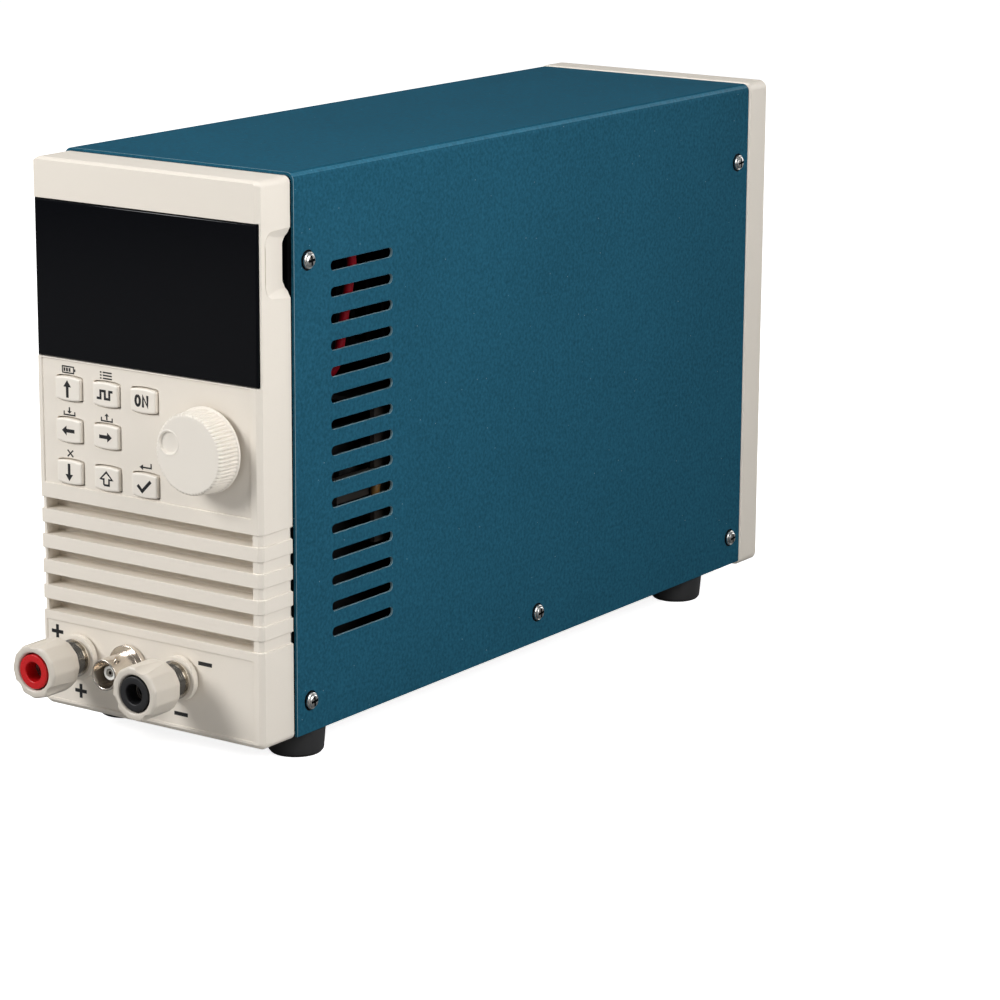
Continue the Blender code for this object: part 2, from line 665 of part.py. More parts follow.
def turned(name, profile, finish_name, location, rotation=FACE_FORWARD, segments=ROUND, closed=False):
    """A lathe piece. The profile lists (radius, height) from its top down the outer side."""
    mesh = bpy.data.meshes.new(name)
    edges = [(i, i + 1) for i in range(len(profile) - 1)]
    if closed:
        edges.append((len(profile) - 1, 0))
    mesh.from_pydata([(radius, 0, height) for radius, height in profile], edges, [])
    part = add_part(name, mesh, finish_name, location, rotation)
    screw = part.modifiers.new("lathe", "SCREW")
    screw.axis = "Z"
    screw.steps = segments
    screw.render_steps = segments
    screw.use_merge_vertices = True
    screw.merge_threshold = 0.00001
    screw.use_smooth_shade = True
    return part


def add_bars(shape, places, radius, start, end, segments=12):
    """Round bars along Y at several places, for holes or bosses."""
    for x, z in places:
        add_rod(shape, (x, start, z), (x, end, z), radius, segments)


def bars_along_y(name, places, radius, start, end, segments=12):
    shape = bmesh.new()
    add_bars(shape, places, radius, start, end, segments)
    return add_cutter(name, shape)


def block_cutter(name, corner, opposite):
    shape = bmesh.new()
    add_block(shape, corner, opposite)
    return add_cutter(name, shape)


def add_box_through(shape, centre, size, start, end):
    """A box along Y about a point (x, z) of a panel, with a width and a height."""
    half_width, half_height = size[0] / 2, size[1] / 2
    x, z = centre
    add_block(shape, (x - half_width, start, z - half_height), (x + half_width, end, z + half_height))


def box_through(name, centre, size, start, end):
    shape = bmesh.new()
    add_box_through(shape, centre, size, start, end)
    return add_cutter(name, shape)


def screw_places():
    """Depth and height of the five case screws on each side."""
    front = COVER_FRONT + SCREW_INSET
    rear = COVER_REAR - SCREW_INSET
    middle = (COVER_FRONT + COVER_REAR) / 2
    return {"front_high": (front, SCREW_HIGH_Z), "front_low": (front, SCREW_LOW_Z),
            "middle": (middle, SCREW_LOW_Z), "rear_low": (rear, SCREW_LOW_Z),
            "rear_high": (rear, SCREW_HIGH_Z)}


def foot_places():
    front = COVER_FRONT + FOOT_FRONT_INSET
    rear = COVER_REAR - FOOT_REAR_INSET
    return {"front_left": (-FOOT_X, front), "front_right": (FOOT_X, front),
            "rear_left": (-FOOT_X, rear), "rear_right": (FOOT_X, rear)}


def boss_places():
    return [(side * BOSS_X, z) for side in (-1, 1) for z in (BOSS_RISE, BOSS_HIGH_Z)]


def pillar_places():
    return [(side * PILLAR_X, PILLAR_Z) for side in (-1, 1)]


def fan_hole_places():
    reach = FAN_HOLE_PITCH / 2
    return [(side * reach, FAN_Z + level * reach) for side in (-1, 1) for level in (-1, 1)]


def key_place(name):
    column, row = KEYS[name]
    return KEY_FIRST_X + column * KEY_PITCH_X, KEY_FIRST_Z - row * KEY_PITCH_Z


def louvre_heights():
    return [LOUVRE_FIRST_Z - i * LOUVRE_PITCH for i in range(LOUVRE_COUNT)]


def screw_hole_cutter():
    """The case screws' holes, through the cover and the flanges behind it on both sides."""
    shape = bmesh.new()
    reach = COVER_HALF + SCREW_HEAD_HEIGHT
    for y, z in screw_places().values():
        add_rod(shape, (-reach, y, z), (reach, y, z), SCREW_RADIUS + GAP, 10)
    return add_cutter("case_screw_holes", shape)


def case_cover(screw_holes):
    """The painted inverted U: both sides and the top, with a column of vents on each side."""
    inset = COVER_SHEET / 2
    side = COVER_HALF - inset
    top = COVER_TOP - inset
    corners = [(side, COVER_HEM), (side, top), (-side, top), (-side, COVER_HEM)]
    path = bent_path(corners, COVER_BEND - inset)
    cover = bent_sheet("case_cover", path, along_y, COVER_FRONT, COVER_REAR, COVER_SHEET, "blue_paint")
    vents = bmesh.new()
    first = BODY_HEIGHT - VENT_DROP
    middle = COVER_FRONT + VENT_START + VENT_LENGTH / 2
    for i in range(VENT_COUNT):
        outline = shifted(stadium(VENT_LENGTH, VENT_HEIGHT), middle, first - i * VENT_PITCH)
        add_loft(vents, [along_x(outline, -BODY_WIDTH), along_x(outline, BODY_WIDTH)])
    cut(cover, add_cutter("cover_vents", vents))
    cut(cover, screw_holes)


def chassis_tray(screw_holes):
    """Floor of the case, folded up along both sides between the flanges of the end plates."""
    inset = CHASSIS_SHEET / 2
    side = INNER_HALF - inset
    floor = TRAY_UNDERSIDE + inset
    rim = floor + TRAY_FLANGE
    path = bent_path([(side, rim), (side, floor), (-side, floor), (-side, rim)], SHEET_BEND)
    tray = bent_sheet("chassis_tray", path, along_y, COVER_FRONT + GAP, COVER_REAR - GAP,
                      CHASSIS_SHEET, "galvanised")
    ends = bmesh.new()
    inner = INNER_HALF - 3 * CHASSIS_SHEET
    clear = FLANGE_LENGTH + FLANGE_CLEAR
    for side in (-1, 1):
        for start, end in ((0, COVER_FRONT + clear), (COVER_REAR - clear, FRAME_REAR)):
            add_block(ends, (side * inner, start, TRAY_FLOOR + GAP / 2),
                      (side * BODY_WIDTH, end, BODY_HEIGHT))
    cut(tray, add_cutter("tray_flange_ends", ends))
    cut(tray, screw_holes)
    holes = bmesh.new()
    for x, y in foot_places().values():
        add_rod(holes, (x, y, -FOOT_HEIGHT), (x, y, TRAY_FLOOR + SHEET_BEND), SCREW_RADIUS + GAP, 12)
    cut(tray, add_cutter("foot_screw_holes", holes))


def end_plate(name, face, flange_end, screw_holes):
    """An upright sheet across the case with a flange along each side."""
    middle = face + CHASSIS_SHEET / 2
    side = INNER_HALF - CHASSIS_SHEET / 2
    corners = [(side, flange_end), (side, middle), (-side, middle), (-side, flange_end)]
    plate = bent_sheet(name, bent_path(corners, SHEET_BEND), along_z, TRAY_FLOOR + GAP, PLATE_TOP,
                       CHASSIS_SHEET, "galvanised")
    cut(plate, screw_holes)
    return plate


def front_plate(screw_holes):
    """Sheet behind the bezel that its bosses screw to and the posts' tails are nutted to."""
    plate = end_plate("front_plate", PLATE_FRONT, PLATE_FRONT + FLANGE_LENGTH, screw_holes)
    start, end = COVER_FRONT - BEZEL_WALL, PLATE_REAR + BEZEL_WALL
    openings = bmesh.new()
    posts = [(RED_POST_X, TERMINAL_Z), (BLACK_POST_X, TERMINAL_Z)]
    add_bars(openings, posts, STUD_RADIUS + GAP, start, end)
    add_bars(openings, boss_places(), BOSS_BORE + GAP, start, end)
    half = PLATE_WINDOW_WIDTH / 2
    add_block(openings, (-half, start, KEYPAD_HIGH - PLATE_WINDOW_HEIGHT / 2),
              (half, end, KEYPAD_HIGH + PLATE_WINDOW_HEIGHT / 2))
    cut(plate, add_cutter("front_plate_openings", openings))


def front_shell():
    """The bezel before it is hollowed: rounded long edges and a chamfer round the face."""
    shape = bmesh.new()
    add_block(shape, (-SIDE, 0, 0), (SIDE, BEZEL_DEPTH - GAP, BODY_HEIGHT))
    long_edges = [e for e in shape.edges if abs(e.verts[0].co.y - e.verts[1].co.y) > MM]
    bmesh.ops.bevel(shape, geom=long_edges, offset=BEZEL_CORNER, segments=2, profile=0.5, affect="EDGES")
    face_edges = [e for e in shape.edges if max(v.co.y for v in e.verts) < MM / 10]
    bmesh.ops.bevel(shape, geom=face_edges, offset=BEZEL_CHAMFER, segments=1, affect="EDGES")
    return shape


def bezel_inner_forms():
    """Backing of the louvres, screw bosses, and the pillars that hold the front board."""
    shape = bmesh.new()
    half = SIDE - BEZEL_WALL / 2
    root = BEZEL_FACE / 2
    heights = louvre_heights()
    reach = LOUVRE_HEIGHT / 2 + LOUVRE_BACK
    add_block(shape, (-half, root, heights[-1] - reach), (half, LOUVRE_REAR, heights[0] + reach))
    for x, z in boss_places():
        add_rod(shape, (x, root, z), (x, COVER_FRONT, z), BOSS_RADIUS, 12)
    for x, z in pillar_places():
        add_rod(shape, (x, root, z), (x, LOUVRE_REAR, z), PILLAR_RADIUS, 12)
    return add_cutter("bezel_inner_forms", shape)


def bezel_recesses():
    """Shallow steps in the face: the window's seat, the keypad and the terminal panel."""
    shape = bmesh.new()
    seat = WINDOW_EDGE / 2
    start = -BEZEL_WALL
    add_block(shape, (-BODY_WIDTH, start, WINDOW_LOW - seat),
              (BODY_WIDTH, WINDOW_RECESS, WINDOW_HIGH + seat))
    half = SIDE - PANEL_MARGIN
    add_block(shape, (-half, start, KEYPAD_LOW), (half, KEYPAD_RECESS, KEYPAD_HIGH))
    half = SIDE - TERMINAL_MARGIN
    add_block(shape, (-half, start, TERMINAL_LOW), (half, TERMINAL_RECESS, TERMINAL_HIGH))
    return add_cutter("bezel_recesses", shape)


def bezel_openings():
    """Everything that goes right through the front wall."""
    shape = bmesh.new()
    start, end = -BEZEL_WALL, LOUVRE_REAR + BEZEL_WALL
    half = DISPLAY_HALF + DISPLAY_CLEAR
    add_block(shape, (-half, start, DISPLAY_LOW - DISPLAY_CLEAR), (half, end, DISPLAY_HIGH + DISPLAY_CLEAR))
    hole = cushion(KEY_WIDTH + 2 * KEY_CLEAR, KEY_HEIGHT + 2 * KEY_CLEAR)
    for name in KEYS:
        outline = shifted(hole, *key_place(name))
        add_loft(shape, [along_y(outline, start), along_y(outline, end)])
    posts = [(RED_POST_X, TERMINAL_Z), (BLACK_POST_X, TERMINAL_Z)]
    add_bars(shape, posts, COLLAR_BUSH_RADIUS + GAP, start, end)
    add_bars(shape, [(BNC_X, TERMINAL_Z)], BNC_THREAD_RADIUS + GAP, start, end)
    add_bars(shape, [(KNOB_X, KNOB_Z)], BUSH_RADIUS + GAP, start, end)
    return add_cutter("bezel_openings", shape)


def louvre_pockets():
    shape = bmesh.new()
    half = SIDE - PANEL_MARGIN
    reach = LOUVRE_HEIGHT / 2
    for z in louvre_heights():
        add_block(shape, (-half, -BEZEL_WALL, z - reach), (half, LOUVRE_DEPTH, z + reach))
    return add_cutter("louvre_pockets", shape)


def louvre_side_grooves():
    """Shallow grooves that carry each louvre round the chamfer and along the side wall."""
    shape = bmesh.new()
    beyond = SIDE + BEZEL_WALL
    inner = SIDE - PANEL_MARGIN - GAP
    floor = SIDE - SIDE_GROOVE
    turn = BEZEL_CHAMFER + SIDE_GROOVE * math.tan(math.pi / 8)
    plan = [(inner, -BEZEL_WALL), (beyond, -BEZEL_WALL), (beyond, BEZEL_DEPTH), (floor, BEZEL_DEPTH),
            (floor, turn), (SIDE - turn, SIDE_GROOVE), (inner, SIDE_GROOVE)]
    reach = LOUVRE_HEIGHT / 2
    for sign in (-1, 1):
        outline = [(sign * x, y) for x, y in plan]
        for z in louvre_heights():
            add_loft(shape, [along_z(outline, z - reach), along_z(outline, z + reach)])
    return add_cutter("louvre_side_grooves", shape)


def air_notches():
    """Gaps through the side walls where the grooves reach the cover."""
    shape = bmesh.new()
    start = BEZEL_DEPTH - GAP - NOTCH_LENGTH
    reach = LOUVRE_HEIGHT / 2 - GAP
    for sign in (-1, 1):
        for z in louvre_heights():
            add_block(shape, (sign * (SIDE - 2 * BEZEL_WALL), start, z - reach),
                      (sign * (SIDE + GAP), BEZEL_DEPTH, z + reach))
    return add_cutter("air_notches", shape)


def finger_grips():
    """Hollows in the side walls that deepen towards the cover until they go through."""
    shape = bmesh.new()
    skin = SIDE + GAP
    floor = SIDE - GRIP_DEPTH
    rear = BEZEL_DEPTH + GAP
    for sign in (-1, 1):
        grip = bmesh.new()
        corners = [(skin, GRIP_START, GRIP_LOW + GRIP_RAMP), (skin, GRIP_START, GRIP_HIGH - GRIP_RAMP / 2),
                   (skin, rear, GRIP_LOW), (skin, rear, GRIP_HIGH),
                   (floor, rear, GRIP_LOW + GRIP_RAMP), (floor, rear, GRIP_HIGH - GRIP_RAMP)]
        points = [grip.verts.new((sign * x, y, z)) for x, y, z in corners]
        bmesh.ops.convex_hull(grip, input=points)
        bmesh.ops.dissolve_limit(grip, angle_limit=math.radians(1), verts=grip.verts, edges=grip.edges)
        ramps = [e for e in grip.edges if min(abs(v.co.x) for v in e.verts) < floor + MM / 10
                 and min(v.co.y for v in e.verts) < rear - MM]
        bmesh.ops.bevel(grip, geom=ramps, offset=GRIP_ROUND, segments=3, profile=0.5, affect="EDGES")
        bmesh.ops.recalc_face_normals(grip, faces=grip.faces)
        mesh = bpy.data.meshes.new("grip")
        grip.to_mesh(mesh)
        grip.free()
        shape.from_mesh(mesh)
    return add_cutter("finger_grips", shape)


def front_bezel():
    """The moulded front: window seat, keypad, louvres, terminal panel and finger grips."""
    bezel = add_part("front_bezel", as_mesh(front_shell(), "front_bezel"), "cream_plastic")
    half = SIDE - BEZEL_WALL
    cut(bezel, block_cutter("bezel_cavity", (-half, BEZEL_FACE, BEZEL_WALL),
                            (half, BEZEL_DEPTH + BEZEL_WALL, BODY_HEIGHT - BEZEL_WALL)))
    fuse(bezel, bezel_inner_forms())
    cut(bezel, bezel_recesses())
    cut(bezel, bezel_openings())
    cut(bezel, louvre_pockets())
    cut(bezel, louvre_side_grooves())
    cut(bezel, air_notches())
    cut(bezel, finger_grips())
    start = BEZEL_FACE + GAP
    cut(bezel, bars_along_y("boss_bores", boss_places(), BOSS_BORE, start, BEZEL_DEPTH + GAP, 12))
    cut(bezel, bars_along_y("pillar_bores", pillar_places(), PILLAR_BORE, start, LOUVRE_REAR + GAP, 12))


def display():
    """The black window in its seat and the display module behind it."""
    shape = bmesh.new()
    half = SIDE - WINDOW_MARGIN
    add_block(shape, (-half, -WINDOW_PROUD, WINDOW_LOW), (half, WINDOW_RECESS - GAP, WINDOW_HIGH))
    face_edges = [e for e in shape.edges if max(v.co.y for v in e.verts) < 0]
    bmesh.ops.bevel(shape, geom=face_edges, offset=WINDOW_EDGE, segments=1, affect="EDGES")
    add_part("display_window", as_mesh(shape, "display_window"), "black_window")
    module = bmesh.new()
    add_block(module, (-DISPLAY_HALF, WINDOW_RECESS, DISPLAY_LOW),
              (DISPLAY_HALF, LOUVRE_REAR, DISPLAY_HIGH))
    add_part("display_module", as_mesh(module, "display_module"), "display_glass")


def keys():
    """Each key is one moulding: the cap that shows, and a lip behind the wall that keeps it in."""
    front = KEYPAD_RECESS - KEY_PROUD
    lip_front = BEZEL_FACE + GAP
    crown = cushion(KEY_WIDTH - 2 * KEY_EDGE, KEY_HEIGHT - 2 * KEY_EDGE)
    body = cushion(KEY_WIDTH, KEY_HEIGHT)
    lip = cushion(KEY_WIDTH + 2 * KEY_LIP, KEY_HEIGHT + 2 * KEY_LIP)
    for name in KEYS:
        shape = bmesh.new()
        add_loft(shape, [along_y(crown, front), along_y(body, front + KEY_EDGE), along_y(body, lip_front),
                         along_y(lip, lip_front), along_y(lip, lip_front + KEY_LIP_THICKNESS)])
        x, z = key_place(name)
        add_part(name, as_mesh(shape, name), "pale_plastic", (x, 0, z))


def front_board():
    """Board behind the keys, with one push switch for each key."""
    shape = bmesh.new()
    front = FRONT_BOARD_FRONT
    add_block(shape, (-FRONT_BOARD_HALF, front, FRONT_BOARD_LOW),
              (FRONT_BOARD_HALF, front + BOARD, FRONT_BOARD_HIGH))
    board = add_part("front_board", as_mesh(shape, "front_board"), "board_green")
    switches = bmesh.new()
    plunger = BEZEL_FACE + GAP + KEY_LIP_THICKNESS + KEY_TRAVEL + GAP
    reach = TACT_SIZE / 2
    for name in KEYS:
        x, z = key_place(name)
        add_block(switches, (x - reach, plunger, z - reach), (x + reach, front + BOARD / 2, z + reach))
    fuse(board, add_cutter("push_switches", switches))
    bore = PILLAR_BORE + GAP
    cut(board, bars_along_y("board_holes", pillar_places(), bore, LOUVRE_REAR, front + 2 * BOARD))


def ribbed_ring(radius, depth, height):
    """A ring of points that alternate between a rib and the bottom of a flute."""
    points = []
    for i in range(2 * KNOB_FLUTES):
        angle = math.pi * i / KNOB_FLUTES
        reach = radius - depth * (i % 2)
        points.append((reach * math.cos(angle), reach * math.sin(angle), height))
    return points


def knob(place):
    """The fluted control knob with its finger dimple and the bore for the shaft."""
    rim_front = KNOB_STANDOFF + KNOB_RIM_LENGTH
    shape = bmesh.new()
    add_loft(shape, [
        ribbed_ring(KNOB_RIM_RADIUS, 0, KNOB_STANDOFF),
        ribbed_ring(KNOB_RIM_RADIUS, 0, rim_front),
        ribbed_ring(KNOB_RIM_RADIUS - FLUTE_DEPTH / 2, FLUTE_DEPTH, rim_front + FLUTE_DEPTH),
        ribbed_ring(KNOB_FACE_RADIUS, FLUTE_DEPTH, KNOB_REACH - KNOB_BEAD),
        ribbed_ring(KNOB_FACE_RADIUS - KNOB_BEAD, 0, KNOB_REACH),
    ])
    part = add_part("encoder_knob", as_mesh(shape, "encoder_knob"), "pale_plastic", place, FACE_FORWARD)
    ball_radius = (DIMPLE_RADIUS ** 2 + DIMPLE_DEPTH ** 2) / (2 * DIMPLE_DEPTH)
    centre = (DIMPLE_OFFSET * math.cos(DIMPLE_ANGLE), DIMPLE_OFFSET * math.sin(DIMPLE_ANGLE),
              KNOB_REACH + ball_radius - DIMPLE_DEPTH)
    ball = bmesh.new()
    bmesh.ops.create_uvsphere(ball, u_segments=20, v_segments=24, radius=ball_radius,
                              matrix=Matrix.Translation(centre))
    cut(part, add_cutter("knob_dimple", ball, place, FACE_FORWARD))
    bore = bmesh.new()
    add_rod(bore, (0, 0, 0), (0, 0, KNOB_STANDOFF + SHAFT_IN_KNOB + GAP), SHAFT_RADIUS + GAP, 20)
    cut(part, add_cutter("knob_bore", bore, place, FACE_FORWARD))


def encoder():
    """The control knob on its shaft, and the encoder that carries the shaft."""
    place = (KNOB_X, 0, KNOB_Z)
    knob(place)
    shaft_front = KNOB_STANDOFF + SHAFT_IN_KNOB
    body_front = -(BEZEL_FACE + GAP)
    body_rear = -LOUVRE_REAR
    shaft_rear = body_rear + BOARD
    turned("encoder_shaft", [(0, shaft_front), (SHAFT_RADIUS, shaft_front), (SHAFT_RADIUS, shaft_rear),
                             (0, shaft_rear)], "nickel", place, segments=20)
    reach = ENCODER_SIZE / 2
    body = bmesh.new()
    add_block(body, (-reach, -reach, body_rear), (reach, reach, body_front))
    part = add_part("encoder_body", as_mesh(body, "encoder_body"), "galvanised", place, FACE_FORWARD)
    bush = bmesh.new()
    add_rod(bush, (0, 0, body_front - GAP), (0, 0, -GAP), BUSH_RADIUS, 20)
    fuse(part, add_cutter("encoder_bush", bush, place, FACE_FORWARD))
    bore = bmesh.new()
    add_rod(bore, (0, 0, shaft_rear - GAP), (0, 0, shaft_front), SHAFT_RADIUS + GAP, 20)
    cut(part, add_cutter("encoder_bore", bore, place, FACE_FORWARD))


def cap_ring(radius, height):
    angles = [math.tau * (i + 0.5) / CAP_SIDES for i in range(CAP_SIDES)]
    return [(radius * math.cos(a), radius * math.sin(a), height) for a in angles]


def post_cap(name, place):
    """The hand nut: twelve flats, three finger flutes, a bore for the stud and the insert."""
    shape = bmesh.new()
    add_loft(shape, [
        cap_ring(CAP_CORNER_RADIUS - CAP_EDGE, CAP_FRONT),
        cap_ring(CAP_CORNER_RADIUS, CAP_FRONT - CAP_EDGE),
        cap_ring(CAP_CORNER_RADIUS, CAP_REAR + CAP_TAPER),
        cap_ring(CAP_REAR_RADIUS, CAP_REAR),
    ])
    cap = add_part(name, as_mesh(shape, name), "pale_plastic", place, FACE_FORWARD)
    flutes = bmesh.new()
    reach = CAP_CORNER_RADIUS * math.cos(math.pi / CAP_SIDES) + CAP_FLUTE_RADIUS - CAP_FLUTE_BITE
    for i in range(CAP_FLUTES):
        angle = math.radians(90) + math.tau * i / CAP_FLUTES
        x, y = reach * math.cos(angle), reach * math.sin(angle)
        add_rod(flutes, (x, y, CAP_REAR - CAP_TAPER), (x, y, CAP_FRONT + CAP_EDGE), CAP_FLUTE_RADIUS)
    cut(cap, add_cutter(name + "_flutes", flutes, place, FACE_FORWARD))
    for label, radius, start, end in (
            ("_bore", THREAD_RADIUS + GAP, CAP_REAR - CAP_TAPER, THREAD_FRONT + CAP_TRAVEL + GAP),
            ("_way", NOSE_RADIUS + GAP, CAP_REAR - CAP_TAPER, CAP_FRONT + CAP_EDGE),
            ("_seat", INSERT_RADIUS + GAP, CAP_FRONT - INSERT_LENGTH - GAP, CAP_FRONT + CAP_EDGE)):
        hole = bmesh.new()
        add_rod(hole, (0, 0, start), (0, 0, end), radius, 20)
        cut(cap, add_cutter(name + label, hole, place, FACE_FORWARD))


def post_stud(name, place):
    """The metal of a terminal: plug socket, thread, clamping ring, and a tail with two nuts."""
    socket_floor = NOSE_FRONT - SOCKET_DEPTH
    stud = turned(name, [
        (0, socket_floor), (SOCKET_RADIUS, socket_floor), (SOCKET_RADIUS, NOSE_FRONT),
        (NOSE_RADIUS, NOSE_FRONT), (NOSE_RADIUS, THREAD_FRONT), (THREAD_RADIUS, THREAD_FRONT),
        (THREAD_RADIUS, RING_FRONT), (RING_RADIUS, RING_FRONT), (RING_RADIUS, RING_REAR),
        (STUD_RADIUS, RING_REAR), (STUD_RADIUS, -STUD_TAIL_Y), (0, -STUD_TAIL_Y)],
        "nickel", place, segments=COARSE)
    nuts = bmesh.new()
    for front in (BUSH_REAR - GAP, -(PLATE_REAR + GAP), -(LUG_REAR_Y + GAP)):
        add_rod(nuts, (0, 0, front), (0, 0, front - POST_NUT_LENGTH), POST_NUT_RADIUS, 6)
    fuse(stud, add_cutter(name + "_nuts", nuts, place, FACE_FORWARD))


def binding_post(colour, x):
    """One terminal: insulating collar, metal stud, hand nut and its coloured insert."""
    place = (x, 0, TERMINAL_Z)
    bore = STUD_RADIUS + GAP
    turned(colour + "_post_collar", [
        (bore, COLLAR_FRONT), (COLLAR_RADIUS, COLLAR_FRONT), (COLLAR_RADIUS, COLLAR_SEAT),
        (COLLAR_BUSH_RADIUS, COLLAR_SEAT), (COLLAR_BUSH_RADIUS, BUSH_REAR), (bore, BUSH_REAR)],
        "cream_plastic", place, segments=20, closed=True)
    post_stud(colour + "_post_stud", place)
    post_cap(colour + "_post_cap", place)
    rear = CAP_FRONT - INSERT_LENGTH
    turned(colour + "_post_insert", [
        (INSERT_BORE, CAP_FRONT), (INSERT_RADIUS, CAP_FRONT), (INSERT_RADIUS, rear), (INSERT_BORE, rear)],
        colour + "_plastic", place, segments=20, closed=True)


def bnc_connector():
    """The trigger or sense socket: shell with bayonet lugs, insulator and centre contact."""
    place = (BNC_X, 0, TERMINAL_Z)
    floor = BNC_FRONT - BNC_MOUTH_DEPTH
    flange_front = COLLAR_SEAT + BNC_FLANGE_LENGTH
    shell = turned("bnc_shell", [
        (0, floor), (BNC_MOUTH_RADIUS, floor), (BNC_MOUTH_RADIUS, BNC_FRONT), (BNC_RADIUS, BNC_FRONT),
        (BNC_RADIUS, flange_front), (BNC_FLANGE_RADIUS, flange_front), (BNC_FLANGE_RADIUS, COLLAR_SEAT),
        (BNC_THREAD_RADIUS, COLLAR_SEAT), (BNC_THREAD_RADIUS, -BNC_TAIL), (0, -BNC_TAIL)],
        "nickel", place, segments=20)
    lugs = bmesh.new()
    spoke = Vector((math.cos(BNC_LUG_ANGLE), math.sin(BNC_LUG_ANGLE), 0))
    root = (BNC_RADIUS + BNC_MOUTH_RADIUS) / 2
    level = Vector((0, 0, BNC_LUG_FRONT))
    for sign in (-1, 1):
        add_rod(lugs, spoke * sign * root + level, spoke * sign * (BNC_RADIUS + BNC_LUG_REACH) + level,
                BNC_LUG_RADIUS, 8)
    nut_front = -(BEZEL_FACE + GAP)
    add_rod(lugs, (0, 0, nut_front), (0, 0, nut_front - BNC_NUT_LENGTH), BNC_NUT_RADIUS, 6)
    fuse(shell, add_cutter("bnc_lugs_and_nut", lugs, place, FACE_FORWARD))
    way = bmesh.new()
    add_rod(way, (0, 0, floor + GAP), (0, 0, -2 * BNC_TAIL), INSULATOR_RADIUS + GAP, COARSE)
    cut(shell, add_cutter("bnc_way", way, place, FACE_FORWARD))
    pin_way = CONTACT_RADIUS + GAP
    turned("bnc_insulator", [
        (pin_way, INSULATOR_FRONT), (INSULATOR_RADIUS, INSULATOR_FRONT), (INSULATOR_RADIUS, -BNC_TAIL),
        (pin_way, -BNC_TAIL)], "white_ptfe", place, segments=COARSE, closed=True)
    tip = INSULATOR_FRONT - GAP
    tail = -(BNC_TAIL + BNC_FLANGE_LENGTH)
    turned("bnc_contact", [
        (0, tip - CONTACT_DEPTH), (CONTACT_BORE, tip - CONTACT_DEPTH), (CONTACT_BORE, tip),
        (CONTACT_RADIUS, tip), (CONTACT_RADIUS, tail), (0, tail)], "nickel", place, segments=12)


def feet():
    top = TRAY_UNDERSIDE - GAP
    bottom = -FOOT_HEIGHT
    for name, (x, y) in foot_places().items():
        turned("foot_" + name, [
            (0, top), (FOOT_TOP_RADIUS, top), (FOOT_BOTTOM_RADIUS, bottom + FOOT_EDGE),
            (FOOT_BOTTOM_RADIUS - FOOT_EDGE, bottom), (FOOT_RECESS_RADIUS, bottom),
            (FOOT_RECESS_RADIUS, bottom + FOOT_RECESS_DEPTH), (0, bottom + FOOT_RECESS_DEPTH)],
            "black_rubber", (x, y, 0), UPRIGHT, 20)


def case_screws():
    """Pan head screws through the cover into the flanges behind it."""
    head = SCREW_HEAD_HEIGHT
    for side, label in ((1, "right"), (-1, "left")):
        for name, (y, z) in screw_places().items():
            turned(f"screw_{label}_{name}", [
                (0, head - SCREW_RECESS), (SCREW_RECESS, head), (SCREW_HEAD_RADIUS, head / 2),
                (SCREW_HEAD_RADIUS, 0), (SCREW_RADIUS, 0), (SCREW_RADIUS, -SCREW_LENGTH),
                (0, -SCREW_LENGTH)],
                "screw_steel", (side * (COVER_HALF + GAP), y, z), (0, side * math.radians(90), 0), 10)


def rear_frame():
    """Moulded surround of the rear panel: an outer rim with a lip that lies on the panel."""
    half = COVER_HALF + REAR_FRAME_STEP
    top = COVER_TOP + REAR_FRAME_STEP
    height = top + REAR_FRAME_DROP
    centre = (top - REAR_FRAME_DROP) / 2
    shape = bmesh.new()

    def ring(inset, y, radius):
        outline = rounded_rectangle(2 * (half - inset), height - 2 * inset, radius)
        return along_y(shifted(outline, 0, centre), y)

    edge_start = FRAME_REAR - REAR_FRAME_EDGE
    add_loft(shape, [ring(0, SEAT_REAR, REAR_FRAME_CORNER), ring(0, edge_start, REAR_FRAME_CORNER),
                     ring(REAR_FRAME_EDGE, FRAME_REAR, REAR_FRAME_CORNER)])
    frame = add_part("rear_frame", as_mesh(shape, "rear_frame"), "cream_plastic")
    for name, inset, start in (("rear_frame_opening", REAR_LIP_WIDTH, PANEL_FRONT),
                               ("rear_frame_recess", REAR_FRAME_WALL, SEAT_REAR + REAR_LIP)):
        shape = bmesh.new()
        add_loft(shape, [ring(inset, start, REAR_FRAME_EDGE),
                         ring(inset, FRAME_REAR + REAR_LIP, REAR_FRAME_EDGE)])
        cut(frame, add_cutter(name, shape))


def rear_panel(screw_holes):
    """Sheet that closes the rear and carries the fan, the inlet, the switch and the port."""
    panel = end_plate("rear_panel", PANEL_FRONT, PANEL_REAR - FLANGE_LENGTH, screw_holes)
    start, end = PANEL_FRONT - BEZEL_WALL, PANEL_REAR + BEZEL_WALL
    openings = bmesh.new()
    add_bars(openings, [(0, FAN_Z)], FAN_BORE, start, end, 32)
    add_bars(openings, fan_hole_places(), FAN_HOLE_RADIUS, start, end)
    for x, z, width, height in (
            (0, INLET_Z, INLET_BODY_WIDTH, INLET_BODY_HEIGHT),
            (SWITCH_X, SWITCH_Z, SWITCH_WIDTH - 2 * SWITCH_RIM, SWITCH_HEIGHT - 2 * SWITCH_RIM),
            (SERIAL_X, SWITCH_Z, SERIAL_BODY_WIDTH, SERIAL_BODY_HEIGHT)):
        add_box_through(openings, (x, z), (width + 2 * GAP, height + 2 * GAP), start, end)
    cut(panel, add_cutter("rear_panel_openings", openings))


